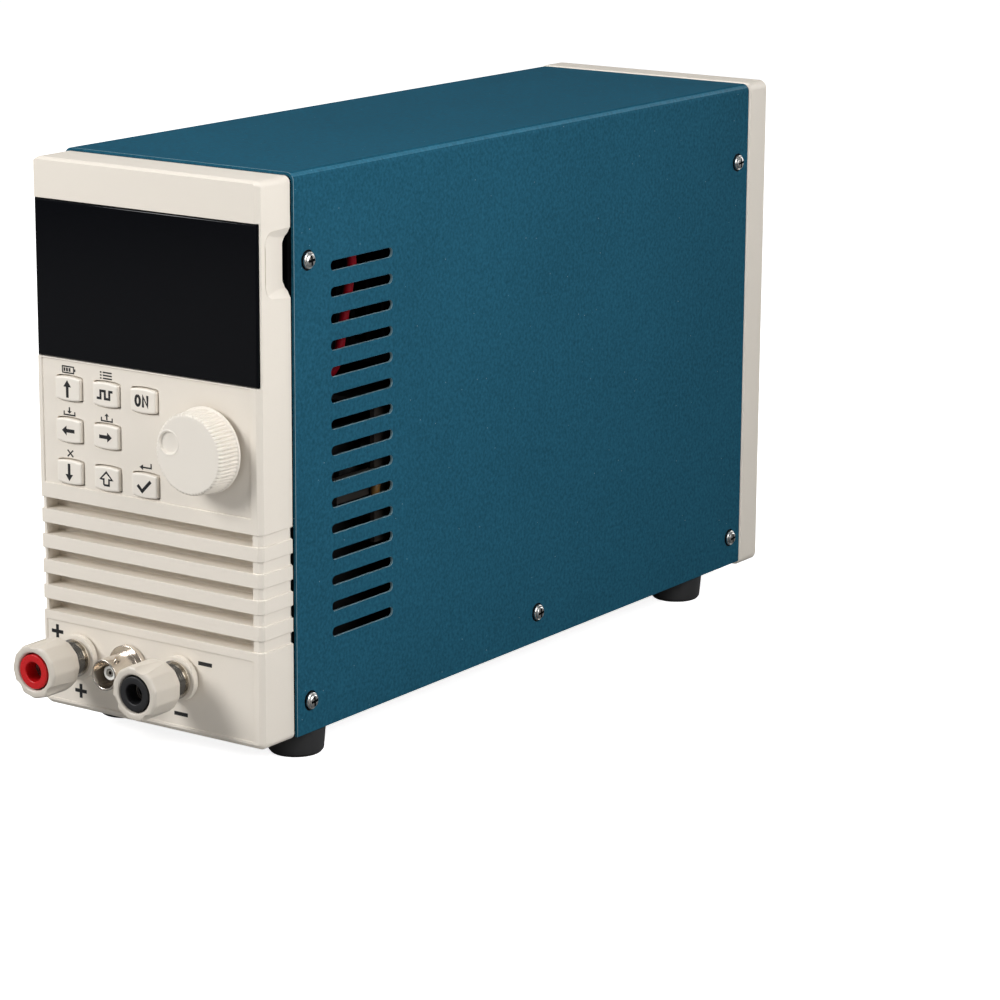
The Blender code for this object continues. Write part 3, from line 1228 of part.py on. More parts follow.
def fan_frame():
    """Square fan housing with the motor plate held by struts on the outlet side."""
    shape = bmesh.new()
    outline = shifted(rounded_rectangle(FAN_SIZE, FAN_SIZE, FAN_CORNER), 0, FAN_Z)
    add_loft(shape, [along_y(outline, FAN_FRONT), along_y(outline, FAN_REAR)])
    frame = add_part("fan_frame", as_mesh(shape, "fan_frame"), "black_plastic")
    bores = bmesh.new()
    add_bars(bores, [(0, FAN_Z)], FAN_BORE, FAN_FRONT - GAP, FAN_REAR + GAP, 32)
    add_bars(bores, fan_hole_places(), FAN_HOLE_RADIUS, FAN_FRONT - GAP, FAN_REAR + GAP)
    cut(frame, add_cutter("fan_bores", bores))
    struts = bmesh.new()
    plate_front = FAN_REAR - FAN_MOTOR_PLATE
    inner = FAN_HUB_RADIUS - FAN_STRUT_WIDTH
    outer = FAN_BORE + FAN_STRUT_WIDTH / 2
    middle = FAN_REAR - FAN_MOTOR_PLATE / 2
    for i in range(FAN_STRUTS):
        angle = math.tau * (i + 0.5) / FAN_STRUTS + math.radians(12)
        reach = (inner + outer) / 2
        centre = Vector((reach * math.cos(angle), middle, FAN_Z + reach * math.sin(angle)))
        size = (outer - inner, FAN_MOTOR_PLATE - 2 * GAP, FAN_STRUT_WIDTH)
        matrix = Matrix.Translation(centre) @ Matrix.Rotation(-angle, 4, "Y") @ Matrix.Diagonal((*size, 1))
        bmesh.ops.create_cube(struts, size=1, matrix=matrix)
    fuse(frame, add_cutter("fan_struts", struts))
    plate_rear = FAN_REAR - GAP / 2
    fuse(frame, bars_along_y("fan_motor_plate", [(0, FAN_Z)], FAN_HUB_RADIUS, plate_front, plate_rear, 20))
    bearing_front = FAN_FRONT + FAN_HUB_INSET + FAN_HUB_LENGTH - FAN_BEARING_DEPTH + GAP
    fuse(frame, bars_along_y("fan_bearing", [(0, FAN_Z)], FAN_BEARING_RADIUS, bearing_front, middle))


def fan_blades():
    """Twisted blades whose ends follow the hub and the bore, about the rotor's own axis."""
    shape = bmesh.new()
    root = FAN_HUB_RADIUS - FAN_BLADE_THICKNESS
    tip = FAN_BORE - FAN_BLADE_CLEAR
    stations, steps = 4, 3
    middle = -FAN_HUB_LENGTH / 2
    for blade in range(FAN_BLADES):
        loops = []
        for i in range(stations):
            share = i / (stations - 1)
            radius = root + (tip - root) * share
            pitch = FAN_BLADE_ROOT_PITCH + (FAN_BLADE_TIP_PITCH - FAN_BLADE_ROOT_PITCH) * share
            chord = FAN_BLADE_CHORD * (0.8 + 0.2 * share)
            loop = []
            for side in (1, -1):
                for j in range(steps + 1):
                    along = side * chord * (j / steps - 0.5)
                    turn = math.tau * blade / FAN_BLADES + along * math.cos(pitch) / radius
                    height = middle + along * math.sin(pitch) + side * FAN_BLADE_THICKNESS / 2
                    loop.append((radius * math.cos(turn), radius * math.sin(turn), height))
            loops.append(loop)
        add_loft(shape, loops)
    bmesh.ops.triangulate(shape, faces=shape.faces)
    return shape


def fan_rotor():
    place = (0, FAN_FRONT + FAN_HUB_INSET, FAN_Z)
    bore = FAN_BEARING_RADIUS + GAP
    rear = -FAN_HUB_LENGTH
    roof = rear + FAN_BEARING_DEPTH
    rotor = turned("fan_rotor", [
        (0, 0), (FAN_HUB_RADIUS - 2 * GAP, 0), (FAN_HUB_RADIUS, -2 * GAP), (FAN_HUB_RADIUS, rear),
        (bore, rear), (bore, roof), (0, roof)], "black_plastic", place, segments=24)
    fuse(rotor, add_cutter("fan_blades", fan_blades(), place, FACE_FORWARD))


def fan_guard():
    """Chromed finger guard: wire rings on four spokes that end in eyes at the fan's screws."""
    spoke_y = SEAT_REAR + GUARD_WIRE
    ring_y = spoke_y + 1.5 * GUARD_WIRE
    rings = bmesh.new()
    for radius in GUARD_RADII:
        add_torus(rings, (0, ring_y, FAN_Z), radius, GUARD_WIRE, ROUND)
    eyes = bmesh.new()
    spokes = bmesh.new()
    for x, z in fan_hole_places():
        add_torus(eyes, (x, spoke_y, z), GUARD_EYE, GUARD_WIRE, 8)
        corner = Vector((x, spoke_y, z))
        centre = Vector((0, spoke_y, FAN_Z))
        inward = (centre - corner).normalized()
        add_rod(spokes, corner + inward * GUARD_EYE, centre - inward * (GUARD_RADII[0] - GUARD_WIRE),
                GUARD_WIRE, 6)
    guard = add_part("fan_guard", as_mesh(eyes, "fan_guard"), "nickel")
    fuse(guard, add_cutter("guard_spokes", spokes))
    fuse(guard, add_cutter("guard_rings", rings))


def socket_pins(floor):
    pins = bmesh.new()
    for x, rise in ((-PIN_PITCH / 2, -PIN_RISE / 2), (0, PIN_RISE / 2), (PIN_PITCH / 2, -PIN_RISE / 2)):
        place = (x, INLET_Z + SOCKET_RISE + rise)
        add_box_through(pins, place, (PIN_WIDTH, PIN_HEIGHT), floor - PIN_WIDTH, floor + PIN_LENGTH)
    return pins


def mains_inlet():
    """Appliance inlet: flange outside the panel, body through it, pins in a six-sided socket."""
    shape = bmesh.new()
    face = SEAT_REAR + INLET_FLANGE
    flange = rounded_rectangle(INLET_FLANGE_WIDTH, INLET_FLANGE_HEIGHT, INLET_FLANGE_CORNER)
    rim = rounded_rectangle(INLET_FLANGE_WIDTH - GAP, INLET_FLANGE_HEIGHT - GAP, INLET_FLANGE_CORNER)
    flange = shifted(flange, 0, INLET_Z)
    rim = shifted(rim, 0, INLET_Z)
    add_loft(shape, [along_y(flange, SEAT_REAR), along_y(flange, face - GAP), along_y(rim, face)])
    inlet = add_part("mains_inlet", as_mesh(shape, "mains_inlet"), "black_plastic")
    place = (0, INLET_Z)
    size = (INLET_BODY_WIDTH, INLET_BODY_HEIGHT)
    fuse(inlet, box_through("inlet_body", place, size, face - INLET_BODY_DEPTH, face - GAP))
    x, z = SOCKET_WIDTH / 2, SOCKET_HEIGHT / 2
    outline = [(-x, -z), (x, -z), (x, z - SOCKET_CUT), (x - SOCKET_CUT, z), (SOCKET_CUT - x, z),
               (-x, z - SOCKET_CUT)]
    outline = shifted(outline, 0, INLET_Z + SOCKET_RISE)
    socket = bmesh.new()
    floor = face - SOCKET_FLOOR
    add_loft(socket, [along_y(outline, floor), along_y(outline, face + GAP)])
    cut(inlet, add_cutter("inlet_socket", socket))
    fuse(inlet, add_cutter("inlet_pins", socket_pins(floor)))
    place = (0, INLET_Z - DRAWER_DROP)
    bay_floor = face - DRAWER_LENGTH - GAP
    size = (DRAWER_WIDTH + 2 * GAP, DRAWER_HEIGHT + 2 * GAP)
    cut(inlet, box_through("drawer_bay", place, size, bay_floor, face + GAP))
    screws = [(side * (INLET_FLANGE_WIDTH + INLET_BODY_WIDTH) / 4, INLET_Z) for side in (-1, 1)]
    cut(inlet, bars_along_y("inlet_screw_holes", screws, SCREW_RADIUS + GAP, PANEL_FRONT, face + GAP))


def fuse_drawer():
    """Drawer below the socket: a box that slides in the inlet, with a lipped face."""
    place = (0, INLET_Z - DRAWER_DROP)
    face = SEAT_REAR + INLET_FLANGE
    size = (DRAWER_WIDTH, DRAWER_HEIGHT)
    shape = bmesh.new()
    add_box_through(shape, place, size, face - DRAWER_LENGTH, face + 2 * GAP)
    drawer = add_part("fuse_drawer", as_mesh(shape, "fuse_drawer"), "black_plastic")
    size = (DRAWER_WIDTH + 2 * DRAWER_LIP, DRAWER_HEIGHT + 2 * DRAWER_LIP)
    fuse(drawer, box_through("drawer_face", place, size, face + GAP, face + GAP + DRAWER_FACE))


def power_switch():
    """Rocker switch in the rear panel. The rocker turns about the X axis through its pivot."""
    place = (SWITCH_X, SWITCH_Z)
    face = SEAT_REAR + SWITCH_FLANGE
    shape = bmesh.new()
    add_box_through(shape, place, (SWITCH_WIDTH, SWITCH_HEIGHT), SEAT_REAR, face)
    face_edges = [e for e in shape.edges if min(v.co.y for v in e.verts) > face - GAP]
    bmesh.ops.bevel(shape, geom=face_edges, offset=GAP, segments=1, affect="EDGES")
    body = add_part("switch_body", as_mesh(shape, "switch_body"), "black_plastic")
    size = (SWITCH_WIDTH - 2 * SWITCH_RIM, SWITCH_HEIGHT - 2 * SWITCH_RIM)
    fuse(body, box_through("switch_housing", place, size, face - SWITCH_BODY_DEPTH, face - GAP))
    size = (ROCKER_WIDTH + 2 * ROCKER_CLEAR, 2 * (ROCKER_HALF + ROCKER_CLEAR))
    cut(body, box_through("switch_pocket", place, size, face - SWITCH_POCKET_DEPTH, face + GAP))
    third = ROCKER_HALF / 3
    outline = [(ROCKER_RISE, ROCKER_HALF), (ROCKER_RISE - ROCKER_DISH, 0), (ROCKER_RISE, -ROCKER_HALF),
               (0, -ROCKER_HALF), (-ROCKER_ROOT, -third), (-ROCKER_ROOT, third), (0, ROCKER_HALF)]
    turn = Matrix.Rotation(ROCKER_TILT, 2)
    outline = [turn @ Vector(point) for point in outline]
    rocker = bmesh.new()
    add_loft(rocker, [along_x(outline, -ROCKER_WIDTH / 2), along_x(outline, ROCKER_WIDTH / 2)])
    place = (SWITCH_X, face - ROCKER_PIVOT, SWITCH_Z)
    add_part("rocker", as_mesh(rocker, "rocker"), "black_plastic", place)


def d_outline(width, height):
    """The D shape of a serial connector, narrower at the bottom."""
    half_width, half_height = width / 2, height / 2
    return shifted([(-half_width, half_height), (half_width, half_height),
                    (half_width - SERIAL_SLANT, -half_height), (SERIAL_SLANT - half_width, -half_height)],
                   SERIAL_X, SWITCH_Z)


def serial_port():
    """Nine-way connector: flange, hollow D-shaped shell, jack posts, and the body behind."""
    shape = bmesh.new()
    face = SEAT_REAR + SERIAL_FLANGE
    outline = rounded_rectangle(SERIAL_FLANGE_WIDTH, SERIAL_FLANGE_HEIGHT, SERIAL_FLANGE)
    outline = shifted(outline, SERIAL_X, SWITCH_Z)
    add_loft(shape, [along_y(outline, SEAT_REAR), along_y(outline, face)])
    port = add_part("serial_port", as_mesh(shape, "serial_port"), "nickel")
    size = (SERIAL_BODY_WIDTH, SERIAL_BODY_HEIGHT)
    body_front = face - SERIAL_BODY_DEPTH
    fuse(port, box_through("serial_body", (SERIAL_X, SWITCH_Z), size, body_front, face - GAP))
    shell_end = face + SERIAL_SHELL_LENGTH
    shell = bmesh.new()
    outline = d_outline(SERIAL_SHELL_WIDTH, SERIAL_SHELL_HEIGHT)
    add_loft(shell, [along_y(outline, SEAT_REAR + GAP), along_y(outline, shell_end)])
    fuse(port, add_cutter("serial_shell", shell))
    hollow = bmesh.new()
    wall = 2 * SERIAL_SHELL_WALL
    outline = d_outline(SERIAL_SHELL_WIDTH - wall, SERIAL_SHELL_HEIGHT - wall)
    add_loft(hollow, [along_y(outline, face), along_y(outline, shell_end + GAP)])
    cut(port, add_cutter("serial_hollow", hollow))
    jacks = [(SERIAL_X + side * JACK_SPACING / 2, SWITCH_Z) for side in (-1, 1)]
    fuse(port, bars_along_y("jack_posts", jacks, JACK_RADIUS, SEAT_REAR + GAP, face + JACK_LENGTH, 6))


def heatsink():
    """Extruded heat sink, its fins running along the air's way to the fan."""
    base_top = SINK_Z + SINK_BASE
    fin_top = SINK_Z + SINK_HEIGHT
    pitch = (2 * SINK_HALF - SINK_FIN) / (SINK_FINS - 1)
    outline = [(-SINK_HALF, SINK_Z), (SINK_HALF, SINK_Z)]
    for i in reversed(range(SINK_FINS)):
        left = i * pitch - SINK_HALF
        right = left + SINK_FIN
        outline += [(right, base_top), (right, fin_top), (left, fin_top), (left, base_top)]
    shape = bmesh.new()
    add_loft(shape, [along_y(outline, SINK_FRONT), along_y(outline, SINK_REAR)])
    add_part("heatsink", as_mesh(shape, "heatsink"), "aluminium")


def sink_cradle():
    """Folded bracket that stands on the tray and carries the heat sink on two inner lips."""
    inset = CHASSIS_SHEET / 2
    side = SINK_HALF + CHASSIS_SHEET
    floor = CRADLE_FLOOR + inset
    lip = SINK_Z - GAP - inset
    inner = side - CRADLE_LIP
    corners = [(inner, lip), (side, lip), (side, floor), (-side, floor), (-side, lip), (-inner, lip)]
    start = SINK_FRONT + CRADLE_INSET
    end = SINK_REAR - CRADLE_INSET
    path = bent_path(corners, SHEET_BEND)
    bent_sheet("sink_cradle", path, along_y, start, end, CHASSIS_SHEET, "galvanised")


def power_board():
    """Board under the heat sink: power transistors against the sink, capacitors below."""
    half = POWER_BOARD_HALF
    top = POWER_BOARD_TOP
    front = POWER_BOARD_FRONT
    rear = POWER_BOARD_REAR
    shape = bmesh.new()
    add_block(shape, (-half, front, top - BOARD), (half, rear, top))
    board = add_part("power_board", as_mesh(shape, "power_board"), "board_brown")
    seat = SINK_Z - GAP
    middle = (front + rear) / 2
    packages = bmesh.new()
    legs = bmesh.new()
    for i in range(TRANSISTOR_COUNT):
        y = middle + (i - (TRANSISTOR_COUNT - 1) / 2) * TRANSISTOR_PITCH
        x = TRANSISTOR_LENGTH / 2
        add_block(packages, (-x, y - TRANSISTOR_WIDTH / 2, seat - TRANSISTOR_THICKNESS),
                  (x, y + TRANSISTOR_WIDTH / 2, seat))
        add_block(legs, (x - 2 * BOARD, y - TRANSISTOR_WIDTH / 3, top - BOARD / 2),
                  (x - BOARD, y + TRANSISTOR_WIDTH / 3, seat - TRANSISTOR_THICKNESS / 2))
    fuse(board, add_cutter("transistor_packages", packages))
    fuse(board, add_cutter("transistor_legs", legs))
    fixings = bmesh.new()
    reach = SINK_HALF - CRADLE_LIP - 2 * STANDOFF_RADIUS
    for x in (-reach, reach):
        for y in (front + STANDOFF_INSET, rear - STANDOFF_INSET):
            add_rod(fixings, (x, y, top - BOARD / 2), (x, y, seat), STANDOFF_RADIUS, 12)
    for side in (-1, 1):
        y = middle + side * CAPACITOR_RADIUS * 2
        can_end = top - BOARD - CAPACITOR_LENGTH
        add_rod(fixings, (0, y, top - BOARD / 2), (0, y, can_end), CAPACITOR_RADIUS)
        x = side * (half - TERMINAL_BLOCK)
        add_block(fixings, (x - TERMINAL_BLOCK / 2, front + GAP, top - BOARD - TERMINAL_BLOCK),
                  (x + TERMINAL_BLOCK / 2, front + TERMINAL_BLOCK, top - BOARD / 2))
    fuse(board, add_cutter("board_fixings", fixings))


def transformer():
    """Mains transformer on the cradle's floor: laminated core with the coil through it."""
    middle = (SINK_FRONT + SINK_REAR) / 2
    bottom = CRADLE_FLOOR + CHASSIS_SHEET + GAP
    top = bottom + TRANSFORMER_HEIGHT
    half_width, half_length = TRANSFORMER_WIDTH / 2, TRANSFORMER_LENGTH / 2
    core = bmesh.new()
    thick = TRANSFORMER_CORE / 2
    add_block(core, (-thick, middle - half_length, bottom), (thick, middle + half_length, top))
    part = add_part("transformer", as_mesh(core, "transformer"), "core_steel")
    inset = TRANSFORMER_COIL_INSET
    outline = rounded_rectangle(2 * half_width, 2 * (half_length - inset), inset / 2)
    outline = shifted(outline, 0, middle)
    coil = bmesh.new()
    add_loft(coil, [along_z(outline, bottom + inset), along_z(outline, top - inset)])
    fuse(part, add_cutter("transformer_coil", coil))


def control_board():
    """Upright board beside the vents, on a foot, with its choke."""
    x = CONTROL_BOARD_X
    start = CONTROL_BOARD_START
    end = start + CONTROL_BOARD_LENGTH
    bottom = TRAY_FLOOR + GAP
    shape = bmesh.new()
    add_block(shape, (x, start, bottom), (x + BOARD, end, bottom + CONTROL_BOARD_HEIGHT))
    board = add_part("control_board", as_mesh(shape, "control_board"), "board_brown")
    fuse(board, block_cutter("control_board_foot", (x - CONTROL_BRACKET, start + BOARD, bottom),
                             (x + BOARD / 2, end - BOARD, bottom + BOARD)))
    middle = (start + end) / 2
    choke = bmesh.new()
    centre = (x + BOARD + COIL_WIRE_RADIUS * 0.8, middle, COIL_Z)
    add_torus(choke, centre, COIL_RADIUS, COIL_WIRE_RADIUS, COARSE, 6, (0, math.pi / 2, 0))
    fuse(board, add_cutter("control_board_choke", choke))


def input_lead(colour, x, landing_x):
    """Lead from a post's tail to the power board, with its crimped ring between the nuts."""
    middle = (LUG_FRONT_Y + LUG_REAR_Y) / 2
    curve = bpy.data.curves.new(colour + "_lead_route", "CURVE")
    curve.dimensions = "3D"
    curve.bevel_depth = LEAD_RADIUS
    curve.bevel_resolution = 1
    curve.resolution_u = 3
    curve.use_fill_caps = True
    spline = curve.splines.new("NURBS")
    landing_z = POWER_BOARD_TOP - BOARD - TERMINAL_BLOCK / 2
    route = [(x, middle, TERMINAL_Z + LUG_REACH), (x, middle, TERMINAL_Z + LUG_REACH + LEAD_BEND),
             (x, middle + 2 * LEAD_BEND, landing_z - LEAD_BEND),
             (landing_x, POWER_BOARD_FRONT - LEAD_BEND, landing_z),
             (landing_x, POWER_BOARD_FRONT, landing_z)]
    spline.points.add(len(route) - 1)
    for point, place in zip(spline.points, route):
        point.co = (*place, 1)
    spline.use_endpoint_u = True
    spline.order_u = 4
    draft = bpy.data.objects.new(colour + "_lead_route", curve)
    tube = bpy.data.meshes.new_from_object(draft)
    bpy.data.objects.remove(draft, do_unlink=True)
    shape = bmesh.new()
    shape.from_mesh(tube)
    bmesh.ops.remove_doubles(shape, verts=shape.verts, dist=MM / 100)
    lead = add_part("input_lead_" + colour, as_mesh(shape, "input_lead_" + colour), colour + "_plastic")
    lug = bmesh.new()
    add_rod(lug, (x, LUG_FRONT_Y, TERMINAL_Z), (x, LUG_REAR_Y, TERMINAL_Z), LUG_RADIUS)
    half = LUG_TONGUE / 2
    root, tip = TERMINAL_Z + STUD_RADIUS, TERMINAL_Z + LUG_REACH + LEAD_RADIUS
    near, far = (x - half, LUG_FRONT_Y, root), (x + half, LUG_REAR_Y, tip)
    fuse(lead, block_cutter(colour + "_lug_tongue", near, far))
    fuse(lead, add_cutter(colour + "_lug", lug))
    bore = STUD_RADIUS + GAP
    cut(lead, bars_along_y(colour + "_lug_hole", [(x, TERMINAL_Z)], bore, PLATE_REAR, STUD_TAIL_Y))


def build():
    screw_holes = screw_hole_cutter()
    case_cover(screw_holes)
    chassis_tray(screw_holes)
    front_plate(screw_holes)
    rear_panel(screw_holes)
    case_screws()
    feet()
    front_bezel()
    display()
    keys()
    front_board()
    encoder()
    binding_post("red", RED_POST_X)
    binding_post("black", BLACK_POST_X)
    bnc_connector()
    rear_frame()
    fan_frame()
    fan_rotor()
    fan_guard()
    mains_inlet()
    fuse_drawer()
    power_switch()
    serial_port()
    heatsink()
    sink_cradle()
    power_board()
    transformer()
    control_board()
    input_lead("red", RED_POST_X, TERMINAL_BLOCK - POWER_BOARD_HALF)
    input_lead("black", BLACK_POST_X, POWER_BOARD_HALF - TERMINAL_BLOCK)


build()
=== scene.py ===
"""Finished look of the bench DC electronic load: fine shapes, finishes, floor, light and camera.

Lengths are in metres, except where a docstring or comment says millimetres. Pieces are drawn from
the case datum, as the solids are: x = 0 at the middle of the case, y = 0 at the front panel's face
with +Y into the case, z = 0 at the bezel's underside.
"""

import math

import bmesh
import bpy
from mathutils import Matrix, Vector


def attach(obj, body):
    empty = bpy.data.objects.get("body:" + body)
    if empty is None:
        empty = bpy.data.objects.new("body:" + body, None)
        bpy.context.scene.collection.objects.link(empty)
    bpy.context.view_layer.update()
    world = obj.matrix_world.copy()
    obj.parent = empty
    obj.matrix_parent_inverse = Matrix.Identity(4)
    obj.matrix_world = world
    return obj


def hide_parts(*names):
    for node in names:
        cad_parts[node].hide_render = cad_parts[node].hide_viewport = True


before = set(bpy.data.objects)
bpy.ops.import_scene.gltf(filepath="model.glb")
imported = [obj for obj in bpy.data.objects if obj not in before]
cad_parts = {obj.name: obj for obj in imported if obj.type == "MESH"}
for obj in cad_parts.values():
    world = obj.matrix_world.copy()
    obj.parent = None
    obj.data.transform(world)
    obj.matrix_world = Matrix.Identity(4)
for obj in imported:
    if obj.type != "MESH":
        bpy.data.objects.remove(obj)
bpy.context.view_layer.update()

MM = 0.001
GAP = 0.3 * MM
DATUM = Vector((0, -0.12885, 0.008))
ROUND = 96  # facets of a turned piece
EDGE = 0.2 * MM  # rounding of a moulded or painted edge
CUT, JOIN = "DIFFERENCE", "UNION"

# Case and front bezel
SIDE = 42.2 * MM  # right side of the bezel
LEFT = 42.6 * MM  # left side of the bezel
LEFT_SHARE = 0.35  # the chamfer is narrower on the left side
TOP_SHARE = 0.5  # and along the top
BODY_HEIGHT = 168.0 * MM
BEZEL_DEPTH = 15.1 * MM
BEZEL_WALL = 2.4 * MM
BEZEL_FACE = 2.6 * MM
BEZEL_CHAMFER = 1.4 * MM
BEZEL_CORNER = 2.0 * MM
COVER_HALF = 43.1 * MM
COVER_TOP = 168.9 * MM
COVER_HEM = 0.6 * MM
COVER_BEND = 2.5 * MM
COVER_SHEET = 1.0 * MM
COVER_REAR = 267.7 * MM
FRAME_FRONT = 268.0 * MM
FRAME_REAR = 279.2 * MM
FRAME_STEP = 0.35 * MM  # the rear frame stands this far outside the cover

# Front panel
WINDOW_LOW = 108.48 * MM
WINDOW_HIGH = 155.68 * MM
WINDOW_SIDES = (-42.1 * MM, 41.5 * MM)
WINDOW_RECESS = 1.5 * MM
WINDOW_SEAT = 0.2 * MM  # room round the window
WINDOW_LEDGE = 4.6 * MM  # what the window rests on, above and below its opening
WINDOW_MOUTH = 36 * MM  # half the width of that opening
KEYPAD_LOW = 69.6 * MM
KEYPAD_HIGH = 107.8 * MM
KEYPAD_RECESS = 0.4 * MM
PANEL_SIDES = (-40.7 * MM, 38.5 * MM)  # keypad and louvres
TERMINAL_LOW = 2.2 * MM
TERMINAL_HIGH = 26.8 * MM
TERMINAL_SIDES = (-41.1 * MM, 38.9 * MM)
TERMINAL_RECESS = 0.3 * MM
LOUVRES = [z * MM for z in (63.1, 55.17, 47.24, 39.31, 31.38)]
LOUVRE_REACH = 1.8 * MM  # half the height of a louvre
LOUVRE_DEPTH = 6.2 * MM
LOUVRE_WALL = 1.5 * MM  # wall behind and around the louvres
GROOVE_DEPTH = 0.5 * MM  # louvre lines that run on round the corners
NOTCH_DEPTH = 2.5 * GAP
GRIP_Z = BODY_HEIGHT - 24.6 * MM
KEY_SIZE = (9.6 * MM, 7.4 * MM)
KEY_CLEAR = 0.35 * MM
KEY_FRONT = KEYPAD_RECESS - 1.1 * MM
KEYS = {  # middles, in millimetres
    "key_up": (-30.2, 99.5), "key_mode": (-15.6, 99.5), "key_on": (-1.0, 99.5),
    "key_left": (-30.2, 86.75), "key_right": (-15.6, 86.75),
    "key_down": (-30.2, 74.0), "key_shift": (-15.6, 74.0), "key_set": (-1.0, 74.0),
}
KNOB = (23.2 * MM, 88.3 * MM)
RED_POST = (-27.8 * MM, 17.3 * MM)
BLACK_POST = (11.3 * MM, 17.3 * MM)
BNC = (-8.65 * MM, 17.3 * MM)
TERMINAL_HOLE = 4.9 * MM
SHAFT_HOLE = 4.5 * MM

# Vents, screws and feet
VENT_MIDDLE = 47.6 * MM
VENT_LENGTH = 30.2 * MM
VENT_HEIGHT = 2.9 * MM
VENT_TOP = 139.5 * MM
VENT_PITCH = 7.905 * MM
VENTS = [VENT_TOP - i * VENT_PITCH for i in range(15)]
SCREWS = {"front_high": (21.7 * MM, 142.8 * MM), "front_low": (21.7 * MM, 10.5 * MM),
          "middle": (141.4 * MM, 10.5 * MM), "rear_low": (261.1 * MM, 10.5 * MM),
          "rear_high": (261.1 * MM, 142.8 * MM)}
SCREW_HOLE = 1.8 * MM
SEAT_RADIUS = 3.0 * MM
SEAT_DEPTH = 0.4 * MM
# Middles of the feet, in millimetres
FEET = {"front_left": (-33.4, 26.8), "front_right": (33.4, 26.8),
        "rear_left": (-33.4, 241.4), "rear_right": (33.4, 241.4)}
FAN_Z = 126.0 * MM

# Lamps: place, size and power in watts
LAMPS = {
    "key": ((-0.5, -0.8, 0.58), 0.4, 7.6), "fill": ((1.7, -0.7, 1.0), 1.4, 1.4),
    "side": ((0.42, -0.14, 0.31), 0.3, 1.55), "top": ((0, 0, 1.8), 1.2, 8.8),
    "left": ((-1.5, 0.1, 0.7), 1.0, 5), "back": ((0.45, 1.6, 0.45), 1.0, 7),
}
LAMP_AIM = Vector((0, 0, 0.08))
WHITE = (1, 1, 1, 1)


# Shapes

def turned(degrees, axis):
    return Matrix.Rotation(math.radians(degrees), 4, axis)


FACE_FORWARD = turned(90, "X")  # a lathe's axis towards the front


def in_mm(points):
    """Points in millimetres as points in metres."""
    return [tuple(c * MM for c in point) for point in points]


def arc(centre, radius, start, end, steps):
    """Points on an arc, angles in degrees."""
    angles = [math.radians(start + (end - start) * i / steps) for i in range(steps + 1)]
    return [(centre[0] + radius * math.cos(a), centre[1] + radius * math.sin(a)) for a in angles]


def rounded_rectangle(width, height, radius, steps=8):
    x, y = width / 2 - radius, height / 2 - radius
    points = []
    for side, level, start in ((1, 1, 0), (-1, 1, 90), (-1, -1, 180), (1, -1, 270)):
        points += arc((side * x, level * y), radius, start, start + 90, steps)
    return points


def stadium(length, height, steps=12):
    reach = (length - height) / 2
    return arc((reach, 0), height / 2, -90, 90, steps) + arc((-reach, 0), height / 2, 90, 270, steps)


def shifted(outline, across, up):
    return [(a + across, b + up) for a, b in outline]


def along_x(outline, x):
    return [(x, y, z) for y, z in outline]


def along_y(outline, y):
    return [(x, y, z) for x, z in outline]


def along_z(outline, z):
    return [(x, y, z) for x, y in outline]


def circle(radius, height, facets=ROUND):
    turns = [math.tau * i / facets for i in range(facets)]
    return [(radius * math.cos(t), radius * math.sin(t), height) for t in turns]


def eased(points, radius, steps=4, closed=False):
    """An outline with each corner rounded, as far as its two sides allow."""
    straight, most = math.radians(88), 0.45
    result = []
    count = len(points)
    for i, point in enumerate(points):
        corner = Vector(point)
        back, ahead = Vector(points[i - 1]) - corner, Vector(points[(i + 1) % count]) - corner
        half_turn = back.angle(ahead) / 2
        if half_turn > straight or not closed and i in (0, count - 1):
            result.append(tuple(corner))
            continue
        reach = min(radius / math.tan(half_turn), back.length * most, ahead.length * most)
        start = corner + back.normalized() * reach
        end = corner + ahead.normalized() * reach
        for j in range(steps + 1):
            share = j / steps
            bend = start.lerp(corner, share).lerp(corner.lerp(end, share), share)
            result.append(tuple(bend))
    return result


def skin(shape, loops, closed=False):
    """Quads between loops of equally many points, with end caps unless the skin closes on itself."""
    rings = [[shape.verts.new(point) for point in loop] for loop in loops]
    pairs = list(zip(rings, rings[1:]))
    if closed:
        pairs.append((rings[-1], rings[0]))
    for ring, following in pairs:
        for i in range(len(ring)):
            j = (i + 1) % len(ring)
            shape.faces.new((ring[i], ring[j], following[j], following[i]))
    if not closed:
        shape.faces.new(rings[0])
        shape.faces.new(reversed(rings[-1]))


def skinned(loops, closed=False):
    shape = bmesh.new()
    skin(shape, loops, closed)
    return shape


def add_block(shape, corner, opposite):
    size = [abs(b - a) for a, b in zip(corner, opposite)]
    centre = [(a + b) / 2 for a, b in zip(corner, opposite)]
    bmesh.ops.create_cube(shape, size=1, matrix=Matrix.Translation(centre) @ Matrix.Diagonal((*size, 1)))


def block(corner, opposite):
    shape = bmesh.new()
    add_block(shape, corner, opposite)
    return shape


def add_rod(shape, start, end, radius, facets=24):
    """A round bar between two points."""
    start, end = Vector(start), Vector(end)
    along = end - start
    turn = along.to_track_quat("Z", "Y").to_matrix().to_4x4()
    bmesh.ops.create_cone(shape, cap_ends=True, segments=facets, radius1=radius, radius2=radius,
                          depth=along.length, matrix=Matrix.Translation((start + end) / 2) @ turn)


def tube(path, radius, facets=16):
    """A round wire along a path."""
    path = [Vector(point) for point in path]
    across = None
    loops = []
    for i, here in enumerate(path):
        along = (path[min(i + 1, len(path) - 1)] - path[max(i - 1, 0)]).normalized()
        across = across or along.orthogonal()
        across = (across - along * across.dot(along)).normalized()
        up = along.cross(across)
        turns = [math.tau * j / facets for j in range(facets)]
        loops.append([tuple(here + (across * math.cos(t) + up * math.sin(t)) * radius) for t in turns])
    return skinned(loops)


